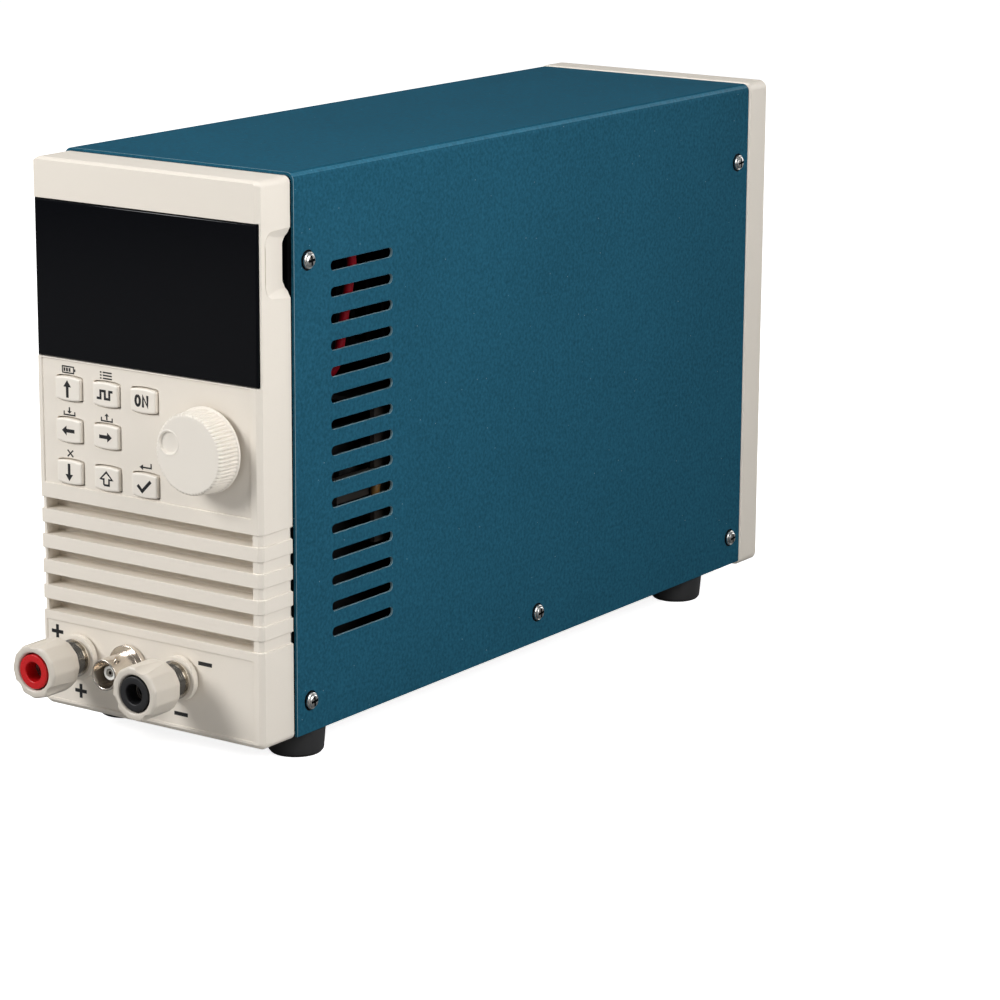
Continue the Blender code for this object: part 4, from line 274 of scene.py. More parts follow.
def lathe(profile, ease=0.25, facets=ROUND, closed=False, steps=4):
    """A turned shape about Z. Profile (radius, height) and the easing of its corners in millimetres."""
    outline = eased(in_mm(profile), ease * MM, steps, closed)
    return skinned([circle(max(r, MM / 1000), h, facets) for r, h in outline], closed)


def linked(name, data):
    made = bpy.data.objects.new(name, data)
    bpy.context.scene.collection.objects.link(made)
    return made


def loose_object(shape, name):
    mesh = bpy.data.meshes.new(name)
    bmesh.ops.recalc_face_normals(shape, faces=shape.faces)
    shape.to_mesh(mesh)
    shape.free()
    return linked(name, mesh)


def settled(made):
    """The mesh of an object after its modifiers, as a bmesh. The object is used up."""
    depsgraph = bpy.context.evaluated_depsgraph_get()
    mesh = bpy.data.meshes.new_from_object(made.evaluated_get(depsgraph))
    shape = bmesh.new()
    shape.from_mesh(mesh)
    bpy.data.meshes.remove(mesh)
    bpy.data.objects.remove(made)
    return shape


def carved(shape, steps):
    """A solid after a list of (CUT or JOIN, shape) steps."""
    made = loose_object(shape, "blank")
    tools = []
    for operation, tool in steps:
        helper = loose_object(tool, "tool")
        modifier = made.modifiers.new("step", "BOOLEAN")
        modifier.operation = operation
        modifier.solver = "EXACT"
        modifier.object = helper
        tools.append(helper)
    result = settled(made)
    for helper in tools:
        bpy.data.objects.remove(helper)
    return result


def soften(shape, width, angle=35):
    """Round every edge that turns by more than the angle."""
    bmesh.ops.remove_doubles(shape, verts=shape.verts, dist=MM / 1000)
    bmesh.ops.dissolve_limit(shape, angle_limit=math.radians(1), verts=shape.verts, edges=shape.edges)
    made = loose_object(shape, "blank")
    bevel = made.modifiers.new("edges", "BEVEL")
    bevel.width = width
    bevel.segments = 2
    bevel.limit_method = "ANGLE"
    bevel.angle_limit = math.radians(angle)
    bevel.use_clamp_overlap = False
    bevel.miter_outer = "MITER_ARC"
    return settled(made)


def copied(node):
    """The mesh of a node of the solid model, in the case's own frame."""
    shape = bmesh.new()
    shape.from_mesh(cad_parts[node].data)
    shape.transform(Matrix.Translation(-DATUM))
    return shape


def piece(name, shape, finish, node=None, body="case", turn=Matrix.Identity(4), place=(0, 0, 0),
          angle=40):
    """Put a shape into the scene on the body that it moves with, for a solid or as an extra."""
    shape.transform(Matrix.Translation(place) @ turn)
    made = loose_object(shape, name)
    made.data.shade_smooth()
    made.data.set_sharp_from_angle(angle=math.radians(angle))
    made.location = DATUM
    flats = made.modifiers.new("flat_faces", "WEIGHTED_NORMAL")
    flats.weight = 100
    flats.keep_sharp = True
    made.data.materials.append(FINISHES[finish])
    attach(made, body)
    if node:
        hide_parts(node)
    return made


def front_piece(name, shape, finish, node, spot, body="case", angle=40):
    """A piece turned about an axis that runs to the front, at a spot (x, z) of the front panel."""
    return piece(name, shape, finish, node, body, FACE_FORWARD, (spot[0], 0, spot[1]), angle)


# Finishes

def linear(colour):
    """An sRGB colour, 0 to 255, as the linear values that the shader uses."""
    shares = [c / 255 for c in colour]
    return (*[s / 12.92 if s <= 0.04045 else ((s + 0.055) / 1.055) ** 2.4 for s in shares], 1)


def set_inputs(tree, node, inputs):
    """Link each input that is given as a socket, and set the others."""
    for name, value in inputs.items():
        if isinstance(value, bpy.types.NodeSocket):
            tree.links.new(value, node.inputs[name])
        else:
            node.inputs[name].default_value = value


def add_node(tree, kind, inputs, **settings):
    """A new shader node's outputs."""
    made = tree.nodes.new("ShaderNode" + kind)
    for name, value in settings.items():
        setattr(made, name, value)
    set_inputs(tree, made, inputs)
    return made.outputs


def worked_out(tree, operation, first, second):
    return add_node(tree, "Math", {0: first, 1: second}, operation=operation)[0]


def ranged(tree, value, low, high):
    """A value from 0 to 1 spread over another range."""
    return add_node(tree, "MapRange", {"Value": value, "To Min": low, "To Max": high})[0]


def mixed(tree, factor, first, second, blend_type="MIX"):
    return add_node(tree, "Mix", {"Factor": factor, 6: first, 7: second}, data_type="RGBA",
                    blend_type=blend_type)[2]


def noise(tree, place, scale, **settings):
    return add_node(tree, "TexNoise", {"Vector": place, "Scale": scale, **settings})


def new_effect(name, inputs, outputs):
    """A shader node group with named inputs and number outputs, and a function that links its results."""
    effect = bpy.data.node_groups.new(name, "ShaderNodeTree")
    for label, value in inputs.items():
        kind = "NodeSocketVector" if isinstance(value, tuple) else "NodeSocketFloat"
        effect.interface.new_socket(label, in_out="INPUT", socket_type=kind).default_value = value
    for label in outputs:
        effect.interface.new_socket(label, in_out="OUTPUT", socket_type="NodeSocketFloat")
    given, result = effect.nodes.new("NodeGroupInput"), effect.nodes.new("NodeGroupOutput")

    def hand_out(*values):
        for label, value in zip(outputs, values):
            effect.links.new(value, result.inputs[label])
        return effect

    return effect, given.outputs, hand_out


def place_on(effect):
    """The point of the piece, in metres, that the patterns of an effect are drawn from."""
    return add_node(effect, "TexCoord", {})["Object"]


def moulded_grain():
    """Fine sparkle of a textured moulding or a powder coat."""
    effect, given, hand_out = new_effect(
        "moulded_grain", {"Size": 0.0004, "Tint": 0.04, "Roughness": 0.45}, ["Height", "Shade", "Roughness"])
    place = place_on(effect)
    scale = worked_out(effect, "DIVIDE", 1.0, given["Size"])
    fine = noise(effect, place, scale, Detail=3.0, Roughness=0.6)[0]
    broad = noise(effect, place, 22.0, Detail=3.0)[0]
    blend = add_node(effect, "Mix", {"Factor": 0.15, 2: fine, 3: broad})[0]
    spread = worked_out(effect, "SUBTRACT", blend, 0.5)
    tint = worked_out(effect, "MULTIPLY", spread, given["Tint"])
    shade = worked_out(effect, "ADD", tint, 1.0)
    wander = worked_out(effect, "MULTIPLY", spread, 0.25)
    return hand_out(fine, shade, worked_out(effect, "ADD", wander, given["Roughness"]))


def pale_specks():
    """Sparse pale flecks of dust or pigment."""
    effect, given, hand_out = new_effect("pale_specks", {"Spacing": 0.004, "Reach": 0.07}, ["Mask"])
    scale = worked_out(effect, "DIVIDE", 1.0, given["Spacing"])
    cells = add_node(effect, "TexVoronoi", {"Vector": place_on(effect), "Scale": scale})
    return hand_out(worked_out(effect, "LESS_THAN", cells["Distance"], given["Reach"]))


def drawn_lines():
    """Lines along one direction, as drawing, turning or brushing leaves them."""
    effect, given, hand_out = new_effect("drawn_lines", {"Stretch": (1, 1, 1)}, ["Height", "Shade"])
    stretched = add_node(effect, "VectorMath", {0: place_on(effect), 1: given["Stretch"]},
                         operation="MULTIPLY")[0]
    lines = noise(effect, stretched, 1.0, Detail=4.0, Roughness=0.65)[0]
    return hand_out(lines, ranged(effect, lines, 0.86, 1.1))


def zinc_spangle():
    """Frosted patches of galvanised sheet."""
    effect, given, hand_out = new_effect("zinc_spangle", {"Size": 0.006}, ["Shade", "Roughness"])
    place = place_on(effect)
    scale = worked_out(effect, "DIVIDE", 1.0, given["Size"])
    wander = noise(effect, place, 260.0)[1]
    drift = add_node(effect, "Mix", {"Factor": 0.012, 4: place, 5: wander}, data_type="VECTOR")[1]
    cells = add_node(effect, "TexVoronoi", {"Vector": drift, "Scale": scale})
    level = add_node(effect, "SeparateColor", {0: cells["Color"]})
    return hand_out(ranged(effect, level[0], 0.82, 1.12), ranged(effect, level[1], 0.3, 0.5))


EFFECTS = {make.__name__: make() for make in (moulded_grain, pale_specks, drawn_lines, zinc_spangle)}


def use_effect(tree, name, inputs):
    return add_node(tree, "Group", inputs, node_tree=EFFECTS[name])


def new_finish(name, roughness, metallic=0.0):
    material = bpy.data.materials.new(name)
    material.use_nodes = True
    tree = material.node_tree
    shader = tree.nodes["Principled BSDF"]
    set_inputs(tree, shader, {"Roughness": roughness, "Metallic": metallic})
    return material, tree, shader


def shaded(tree, colour, shade):
    """A colour made lighter or darker by a pattern."""
    return mixed(tree, 1.0, linear(colour), shade, "MULTIPLY")


def relief(tree, height, strength, depth):
    """Bump of the surface, its depth in millimetres."""
    return add_node(tree, "Bump", {"Strength": strength, "Distance": depth * MM, "Height": height})[0]


def moulding(name, colour, roughness, size, depth, tint=0.05, specks=0.0, gloss=0.5):
    """A moulded plastic, rubber or powder coat. The grain's size and depth are in millimetres."""
    material, tree, shader = new_finish(name, roughness)
    grain = use_effect(tree, "moulded_grain", {"Size": size * MM, "Tint": tint, "Roughness": roughness})
    tone = shaded(tree, colour, grain["Shade"])
    if specks:
        flecks = use_effect(tree, "pale_specks", {"Spacing": 5 * MM, "Reach": 0.035})
        pale = [c + (255 - c) * specks for c in colour]
        tone = mixed(tree, flecks["Mask"], tone, linear(pale))
    set_inputs(tree, shader, {"Base Color": tone, "Roughness": grain["Roughness"],
                              "Specular IOR Level": gloss,
                              "Normal": relief(tree, grain["Height"], 0.35, depth)})
    return material


def worked_metal(name, colour, roughness, stretch, depth=0.01):
    """A bright metal with the lines that its making leaves, per metre along each axis."""
    material, tree, shader = new_finish(name, roughness, 1.0)
    lines = use_effect(tree, "drawn_lines", {"Stretch": stretch})
    set_inputs(tree, shader, {"Base Color": shaded(tree, colour, lines["Shade"]),
                              "Normal": relief(tree, lines["Height"], 0.3, depth)})
    return material


def galvanised_sheet():
    material, tree, shader = new_finish("galvanised", 0.4, 1.0)
    spangle = use_effect(tree, "zinc_spangle", {"Size": 5 * MM})
    set_inputs(tree, shader, {"Base Color": shaded(tree, (168, 172, 176), spangle["Shade"]),
                              "Roughness": spangle["Roughness"]})
    return material


# Colour, roughness, size and depth of the grain in millimetres, then tint, specks and gloss if not plain
MOULDINGS = {
    "cream_plastic": ((236, 228, 216), 0.42, 0.35, 0.015),
    "pale_plastic": ((238, 231, 220), 0.42, 0.3, 0.008, 0.03),
    "cap_plastic": ((212, 204, 192), 0.36, 0.35, 0.01, 0.04),
    "blue_paint": ((34, 84, 105), 0.45, 1.1, 0.06, 1.3, 0.3, 0.004),
    # Lighter blue on the cover's bends: a painted highlight
    "painted_bend_highlight": ((44, 104, 128), 0.4, 1.1, 0.06, 1.3, 0.3, 0.1),
    # Thin paint on cut edges, made pale as a painted highlight
    "thin_paint_and_highlight": ((118, 148, 158), 0.4, 0.5, 0.02, 0.3),
    "black_window": ((7, 8, 12), 0.08, 30, 0.001, 0.2, 0.0, 0.22),
    "black_plastic": ((30, 30, 32), 0.48, 0.3, 0.015, 0.1),
    "black_rubber": ((44, 44, 45), 0.7, 0.35, 0.03, 0.15),
    "black_ink": ((26, 26, 28), 0.5, 0.2, 0.002, 0.2),
    # Painted shade for screw seats and cross recesses
    "shade": ((12, 16, 18), 0.6, 0.5, 0.01, 0.1, 0.0, 0.1),
    "red_plastic": ((200, 18, 24), 0.3, 0.5, 0.006),
    "wire_red": ((112, 3, 18), 0.6, 0.6, 0.01, 0.2, 0.0, 0.1),
    "white_ptfe": ((236, 236, 232), 0.4, 0.5, 0.006, 0.03),
    "display_glass": ((28, 32, 30), 0.2, 0.5, 0.004, 0.1),
    "board_green": ((22, 44, 30), 0.45, 0.8, 0.03, 0.4),
    "board_brown": ((50, 45, 40), 0.55, 1.5, 0.05, 0.6),
    # Near-black board colour: painted shade for boards inside the case
    "board_in_painted_shade": ((14, 14, 13), 0.6, 0.8, 0.03, 0.4),
    "core_steel": ((44, 40, 36), 0.5, 0.6, 0.05, 0.3),
    "winding": ((100, 72, 30), 0.35, 0.9, 0.08, 0.5),
}
# Colour, roughness, lines per metre along each axis, and their depth in millimetres if not plain
METALS = {
    "nickel": ((224, 218, 208), 0.2, (300, 300, 300)),
    "warm_nickel": ((224, 216, 206), 0.24, (300, 300, 300)),
    "thread_nickel": ((170, 164, 154), 0.07, (1200, 1200, 1200), 0.16),
    "screw_steel": ((226, 224, 220), 0.3, (900, 900, 900)),
    "aluminium": ((176, 178, 180), 0.35, (1500, 6, 1500), 0.02),
    # Darkened metals: painted shade for parts inside the case
    "aluminium_in_painted_shade": ((30, 30, 32), 0.5, (1500, 6, 1500), 0.02),
    "zinc_in_painted_shade": ((34, 34, 36), 0.5, (300, 300, 300)),
}
FINISHES = {name: moulding(name, *looks) for name, looks in MOULDINGS.items()}
FINISHES.update({name: worked_metal(name, *looks) for name, looks in METALS.items()})
FINISHES["galvanised"] = galvanised_sheet()


# Case

def bezel_blank():
    """The bezel before it is hollowed: rounded long edges and a chamfer round the face."""
    def ring(inset, y):
        left, right = LEFT - inset * LEFT_SHARE, SIDE - inset
        top = BODY_HEIGHT - inset * TOP_SHARE
        corner = max(BEZEL_CORNER - inset, 0.6 * MM)
        outline = rounded_rectangle(left + right, top - inset, corner)
        return along_y(shifted(outline, (right - left) / 2, (top + inset) / 2), y)

    # The first and last points only say where the eased corners start and end
    edge = eased([(3 * MM, 0), (BEZEL_CHAMFER, 0), (0, BEZEL_CHAMFER), (0, BEZEL_DEPTH)], 0.3 * MM)
    return skinned([ring(inset, y) for inset, y in edge[1:-1]] + [ring(0, BEZEL_DEPTH - GAP)])


def cushion(width, height):
    """Outline of a key: straight sides, arched upper and lower edges, rounded corners."""
    corner, bow = 1.5 * MM, 0.45 * MM
    x, z = width / 2, height / 2
    upper = [(x * (1 - 2 * i / 10), z - bow * (1 - 2 * i / 10) ** 2) for i in range(11)]
    return eased(upper + [(-a, -b) for a, b in upper], corner, 5, True)


def face_steps():
    """What the window seat, the keypad and the terminal panel are sunk by."""
    shape = bmesh.new()
    for (left, right), low, high, recess, room in (
            (WINDOW_SIDES, WINDOW_LOW, WINDOW_HIGH, WINDOW_RECESS, WINDOW_SEAT),
            (PANEL_SIDES, KEYPAD_LOW, KEYPAD_HIGH, KEYPAD_RECESS, 0),
            (TERMINAL_SIDES, TERMINAL_LOW, TERMINAL_HIGH, TERMINAL_RECESS, 0)):
        add_block(shape, (left - room, -BEZEL_WALL, low - room), (right + room, recess, high + room))
    return shape


def panel_openings():
    """Ways through the panel for the display, the keys, the shaft and the terminals."""
    start, end = -BEZEL_WALL, LOUVRE_DEPTH + LOUVRE_WALL + BEZEL_WALL
    shape = bmesh.new()
    add_block(shape, (-WINDOW_MOUTH, start, WINDOW_LOW + WINDOW_LEDGE),
              (WINDOW_MOUTH, end, WINDOW_HIGH - WINDOW_LEDGE))
    hole = cushion(*[size + 2 * KEY_CLEAR for size in KEY_SIZE])
    for x, z in KEYS.values():
        outline = shifted(hole, x * MM, z * MM)
        skin(shape, [along_y(outline, start), along_y(outline, end)])
    for (x, z), radius in ((RED_POST, TERMINAL_HOLE), (BLACK_POST, TERMINAL_HOLE),
                           (BNC, TERMINAL_HOLE), (KNOB, SHAFT_HOLE)):
        add_rod(shape, (x, start, z), (x, end, z), radius, 48)
    return shape


def louvre_cuts():
    """Louvre pockets, the grooves that lead them round both corners, and notches at the cover."""
    pockets, grooves, notches = bmesh.new(), bmesh.new(), bmesh.new()
    for z in LOUVRES:
        add_block(pockets, (PANEL_SIDES[0], -BEZEL_WALL, z - LOUVRE_REACH),
                  (PANEL_SIDES[1], LOUVRE_DEPTH, z + LOUVRE_REACH))
    for sign, side, inner, chamfer in ((-1, LEFT, -PANEL_SIDES[0], BEZEL_CHAMFER * LEFT_SHARE),
                                       (1, SIDE, PANEL_SIDES[1], BEZEL_CHAMFER)):
        beyond, floor = side + BEZEL_WALL, side - GROOVE_DEPTH
        slant = math.hypot(chamfer, BEZEL_CHAMFER)
        turn_x = side - (chamfer + GROOVE_DEPTH * (slant - chamfer) / BEZEL_CHAMFER)
        turn_y = BEZEL_CHAMFER + GROOVE_DEPTH * (slant - BEZEL_CHAMFER) / chamfer
        plan = [(inner - GAP, -BEZEL_WALL), (beyond, -BEZEL_WALL), (beyond, BEZEL_DEPTH),
                (floor, BEZEL_DEPTH), (floor, turn_y), (turn_x, GROOVE_DEPTH), (inner - GAP, GROOVE_DEPTH)]
        outline = [(sign * x, y) for x, y in plan]
        for z in LOUVRES:
            skin(grooves, [along_z(outline, z - LOUVRE_REACH), along_z(outline, z + LOUVRE_REACH)])
            low, high = z - LOUVRE_REACH + GAP, z + LOUVRE_REACH - GAP
            add_block(notches, (sign * (side - 2 * BEZEL_WALL), BEZEL_DEPTH - NOTCH_DEPTH, low),
                      (sign * (side + GAP), BEZEL_DEPTH, high))
    return pockets, grooves, notches


def finger_grips():
    """Shallow scoops in the side walls, and the gap beside the cover that each one runs into."""
    scoops, gaps = bmesh.new(), bmesh.new()
    start, rear = 3.1 * MM, BEZEL_DEPTH + GAP
    opening, height, flare, drop = 3.2 * MM, 4.6 * MM, 0.8 * MM, 0.4 * MM
    deepest, corner = 1.5 * MM, 1.2 * MM
    mouth = [(12.9 * MM, -5.6 * MM), (12.9 * MM, 5.4 * MM), (rear, 9.2 * MM), (rear, -9.8 * MM)]
    mouth = eased(mouth, 0.7 * MM, 4, True)
    steps = 18
    for sign, side in ((-1, LEFT), (1, SIDE)):
        loops = []
        for i in range(steps + 1):
            share = (i / steps) ** 1.7
            y = start + (rear - start) * share
            depth = deepest * (1 - (1 - share) ** 2.2) + 0.01 * MM
            opened = min(1, (y - start) / opening)
            half = 5.0 * MM + height * math.sqrt(1 - (1 - opened) ** 2) + flare * share
            z = GRIP_Z - drop * share
            slope = 1.9 * depth
            trough = [(side + MM, -half), (side, -half), (side - depth, slope - half),
                      (side - depth, half - slope), (side, half), (side + MM, half)]
            loops.append([(sign * a, y, z + b) for a, b in eased(trough, corner, 4, True)])
        skin(scoops, loops)
        skin(gaps, [[(sign * x, y, GRIP_Z + b) for y, b in mouth]
                    for x in (side - 2 * BEZEL_WALL, side + MM)])
    return scoops, gaps


def front_bezel():
    hollow = block((BEZEL_WALL - LEFT, BEZEL_FACE, BEZEL_WALL),
                   (SIDE - BEZEL_WALL, BEZEL_DEPTH + BEZEL_WALL, BODY_HEIGHT - BEZEL_WALL))
    low, high = LOUVRES[-1] - LOUVRE_REACH - LOUVRE_WALL, LOUVRES[0] + LOUVRE_REACH + LOUVRE_WALL
    backing = block((BEZEL_WALL / 2 - LEFT, BEZEL_FACE / 2, low),
                    (SIDE - BEZEL_WALL / 2, LOUVRE_DEPTH + LOUVRE_WALL, high))
    cuts = [face_steps(), panel_openings(), *louvre_cuts(), *finger_grips()]
    shape = carved(bezel_blank(), [(CUT, hollow), (JOIN, backing)] + [(CUT, tool) for tool in cuts])
    piece("bezel", soften(shape, EDGE), "cream_plastic", "front_bezel")


def cover_section():
    """Outline of the inverted U of folded sheet."""
    x, z = COVER_HALF - COVER_BEND, COVER_TOP - COVER_BEND
    sides = []
    for inset in (0, COVER_SHEET):
        half, radius = COVER_HALF - inset, COVER_BEND - inset
        bends = arc((x, z), radius, 0, 90, 12) + arc((-x, z), radius, 90, 180, 12)
        sides.append([(half, COVER_HEM)] + bends + [(-half, COVER_HEM)])
    return sides[0] + sides[1][::-1]


def paint_cover(cover):
    """Thin paint with a painted highlight round the vents and on the front edge, painted shade in the screw
    seats, a painted highlight on the bends.
    """
    for finish in ("thin_paint_and_highlight", "shade", "painted_bend_highlight"):
        cover.data.materials.append(FINISHES[finish])
    # Slots: thin paint with a painted highlight, painted shade, painted highlight on the bends
    thin, shade, bend = 1, 2, 3
    seat_inner, seat_outer, seat_reach = COVER_HALF - 0.9 * MM, COVER_HALF - 0.1 * MM, 3.1 * MM
    for face in cover.data.polygons:
        normal, (x, y, z) = face.normal, face.center
        edge = -0.9 < normal.y < -0.3 and y < BEZEL_DEPTH + GAP
        wall = max(abs(normal.y), abs(normal.z)) > 0.5 and abs(x) > COVER_HALF - 2 * COVER_SHEET
        beside = abs(y - VENT_MIDDLE) < VENT_LENGTH / 2 + GAP
        # Vent walls and the front edge: thin paint, made pale as a painted highlight
        if edge or wall and beside and any(abs(z - vent) < VENT_HEIGHT / 2 + GAP for vent in VENTS):
            face.material_index = thin
        # Screw seats get painted shade
        if seat_inner < abs(x) < seat_outer and any(math.hypot(y - screw_y, z - screw_z) < seat_reach
                                                    for screw_y, screw_z in SCREWS.values()):
            face.material_index = shade
        # The bends get the painted highlight
        if min(abs(normal.x), normal.z) > 0.55:
            face.material_index = bend


def case_cover():
    """The painted inverted U with a column of vents on each side."""
    outline = cover_section()
    shape = skinned([along_y(outline, BEZEL_DEPTH), along_y(outline, COVER_REAR)])
    holes, seats = bmesh.new(), bmesh.new()
    beyond = SIDE * 2
    for z in VENTS:
        slot = shifted(stadium(VENT_LENGTH, VENT_HEIGHT), VENT_MIDDLE, z)
        skin(holes, [along_x(slot, -beyond), along_x(slot, beyond)])
    for y, z in SCREWS.values():
        add_rod(holes, (-beyond, y, z), (beyond, y, z), SCREW_HOLE, 24)
        for sign in (-1, 1):
            add_rod(seats, (sign * (COVER_HALF - SEAT_DEPTH), y, z), (sign * beyond, y, z), SEAT_RADIUS, 48)
    shape = soften(carved(shape, [(CUT, holes), (CUT, seats)]), EDGE)
    paint_cover(piece("cover", shape, "blue_paint", "case_cover"))


def screw_head():
    """A washer-faced pan head with a cross recess, its axis along Z."""
    head = lathe([(0, -5), (1.5, -5), (1.5, -0.3), (2.55, -0.3), (2.55, 0.35), (2.3, 0.6), (2.05, 0.3),
                  (1.95, 0.95), (1.6, 1.2), (0, 1.3)], 0.12, 48)
    width, length, deep, taper = 0.95 * MM, 3.9 * MM, 1.5 * MM, 0.6
    steps = []
    for spin in (5, 95):
        bar = bmesh.new()
        place = turned(spin, "Z") @ Matrix.Translation((0, 0, 1.2 * MM))
        bmesh.ops.create_cube(bar, size=1, matrix=place @ Matrix.Diagonal((length, width, deep, 1)))
        for corner in bar.verts:
            if corner.co.z < 0.9 * MM:
                corner.co.x *= taper
                corner.co.y *= taper
        steps.append((CUT, bar))
    return carved(head, steps)


def add_screw(name, place, outward, turn, node=None):
    """A screw, its cross recess coloured with painted shade."""
    screw = piece(name, screw_head(), "screw_steel", node, place=place, turn=turn)
    screw.data.materials.append(FINISHES["shade"])
    outward, shade = Vector(outward), 1
    crown, recess_floor, steep = 1.95 * MM, 0.75 * MM, 0.5
    for face in screw.data.polygons:
        away = face.center - Vector(place)
        rise = away.dot(outward)
        inside = rise > 0 and (away - outward * rise).length < crown
        # The cross recess gets painted shade
        if inside and (rise < recess_floor or abs(face.normal.dot(outward)) < steep):
            face.material_index = shade


def case_screws():
    for sign, label in ((1, "right"), (-1, "left")):
        for spot, (y, z) in SCREWS.items():
            name = f"screw_{label}_{spot}"
            place = (sign * (COVER_HALF + GAP), y, z)
            add_screw(name + "_fine", place, (sign, 0, 0), turned(sign * 90, "Y"), name)


def feet():
    for name, (x, y) in FEET.items():
        shape = lathe([(0, 0.3), (9, 0.3), (8.4, -7), (7.6, -8), (3.4, -8), (3.4, -3), (0, -3)], 0.6)
        piece(f"foot_{name}_fine", shape, "black_rubber", f"foot_{name}", place=(x * MM, y * MM, 0))


def display_window():
    proud, rounding = 0.1 * MM, 0.5 * MM
    shape = block((WINDOW_SIDES[0], -proud, WINDOW_LOW), (WINDOW_SIDES[1], WINDOW_RECESS - GAP, WINDOW_HIGH))
    face = [e for e in shape.edges if max(v.co.y for v in e.verts) < 0]
    bmesh.ops.bevel(shape, geom=face, offset=rounding, segments=3, profile=0.5, affect="EDGES")
    piece("window", shape, "black_window", "display_window")


# Keys and knob

def key_cap(name, x, z):
    """A key with a soft rim and a slightly crowned top, and the lip that keeps it in."""
    rim, flattening, steps = 0.7 * MM, 0.7, 6
    lip_reach, lip_front, lip_rear = 0.9 * MM, 2.9 * MM, 3.7 * MM
    width, height = KEY_SIZE
    loops = []
    for i in range(steps + 1):
        turn = math.radians(90 * i / steps)
        inset = rim * (1 - math.sin(turn))
        loops.append(along_y(cushion(width - 2 * inset, height - 2 * inset),
                             KEY_FRONT + rim * (1 - math.cos(turn)) * flattening))
    body, lip = cushion(width, height), cushion(width + 2 * lip_reach, height + 2 * lip_reach)
    loops += [along_y(body, lip_front), along_y(lip, lip_front), along_y(lip, lip_rear)]
    piece(f"{name}_cap", skinned(loops), "pale_plastic", name, name, place=(x * MM, 0, z * MM))


def stroke(points, width):
    """Outline of a drawn line with mitred corners, in millimetres."""
    sharpest = 0.6
    left, right = [], []
    for i, point in enumerate(points):
        here = Vector(point)
        before = (here - Vector(points[i - 1])).normalized() if i else None
        after = (Vector(points[i + 1]) - here).normalized() if i + 1 < len(points) else None
        along = ((before or after) + (after or before)).normalized()
        across = Vector((-along.y, along.x))
        reach = width / 2 / max(sharpest, across.dot(Vector((-(after or before).y, (after or before).x))))
        left.append(tuple(here + across * reach))
        right.append(tuple(here - across * reach))
    return left + right[::-1]


def printed(name, outlines, body, place):
    """A sign in thin ink on a key or on the panel, from outlines in millimetres."""
    shape = bmesh.new()
    for outline in outlines:
        loop = in_mm(outline)
        skin(shape, [along_y(loop, 0.1 * MM), along_y(loop, -0.03 * MM)])
    piece(name, shape, "black_ink", body=body, place=place)


def key_signs():
    """Arrows, ON, a pulse, an outlined arrow and a tick, in millimetres."""
    up = [(-0.5, -2.65), (0.5, -2.65), (0.5, 0.6), (1.5, 0.6), (0, 2.65), (-1.5, 0.6), (-0.5, 0.6)]
    right = [(-2.45, -0.55), (0.65, -0.55), (0.65, -1.5), (2.45, 0), (0.65, 1.5), (0.65, 0.55),
             (-2.45, 0.55)]
    oval = [(x * 0.82 - 1.85, z * 1.45) for x, z in arc((0, 0), 1, 90, 449.9, 32)]
    letter_n = [(0.15, -1.85), (0.15, 1.4), (1.85, -1.4), (1.85, 1.85)]
    pulse = [(-3.1, -1.15), (-1.6, -1.15), (-1.6, 1.15), (0.1, 1.15), (0.1, -1.15), (1.8, -1.15),
             (1.8, 1.15), (3.1, 1.15)]
    raised = [(-1, -1.9), (-1, -0.1), (-2.3, -0.1), (0, 2.1), (2.3, -0.1), (1, -0.1), (1, -1.9),
              (-1, -1.88)]
    signs = {
        "key_up": [up], "key_down": [[(x, -z) for x, z in up]],
        "key_right": [right], "key_left": [[(-x, z) for x, z in right]],
        "key_on": [stroke(oval, 0.85), stroke(letter_n, 0.85)],
        "key_mode": [stroke(pulse, 0.75)],
        "key_shift": [stroke(raised, 0.6)],
        "key_set": [stroke([(-2.5, 0), (-0.8, -1.7), (2.5, 1.6)], 1.0)],
    }
    for name, outlines in signs.items():
        x, z = KEYS[name]
        printed(name + "_sign", outlines, name, (x * MM, KEY_FRONT, z * MM))


def bar(left, right, low, high):
    return [(left, low), (right, low), (right, high), (left, high)]


def pictograms():
    """Small signs over the keys, in millimetres."""
    battery = [stroke([(-2.4, -0.95), (2.0, -0.95), (2.0, 0.95), (-2.4, 0.95), (-2.4, -0.94)], 0.4),
               bar(2.2, 2.7, -0.4, 0.4)] + [bar(x, x + 0.7, -0.55, 0.55) for x in (-1.95, -0.95, 0.05)]
    lines = [bar(left, right, z - 0.22, z + 0.22)
             for left, right in ((-2.3, -1.7), (-1.2, 2.3)) for z in (-0.9, 0, 0.9)]
    tray = stroke([(-2.1, 0.1), (-2.1, -1.0), (2.1, -1.0), (2.1, 0.1)], 0.44)
    into = [(-0.26, 1.35), (0.26, 1.35), (0.26, 0.2), (0.85, 0.2), (0, -0.65), (-0.85, 0.2), (-0.26, 0.2)]
    out = [(x, 0.7 - z) for x, z in into]
    pen = 0.46
    cross = [stroke(points, pen) for points in ([(-1.1, -1), (1.1, 1)], [(-1.1, 1), (-0.2, 0.2)],
                                                [(0.2, -0.2), (1.1, -1)])]
    enter = [stroke([(2.2, 1.1), (2.2, -0.3), (-1.1, -0.3)], pen),
             [(-0.9, 0.55), (-2.3, -0.3), (-0.9, -1.15)]]
    return {"key_up": battery, "key_mode": lines, "key_left": [tray, into], "key_right": [tray, out],
            "key_down": cross, "key_set": enter}


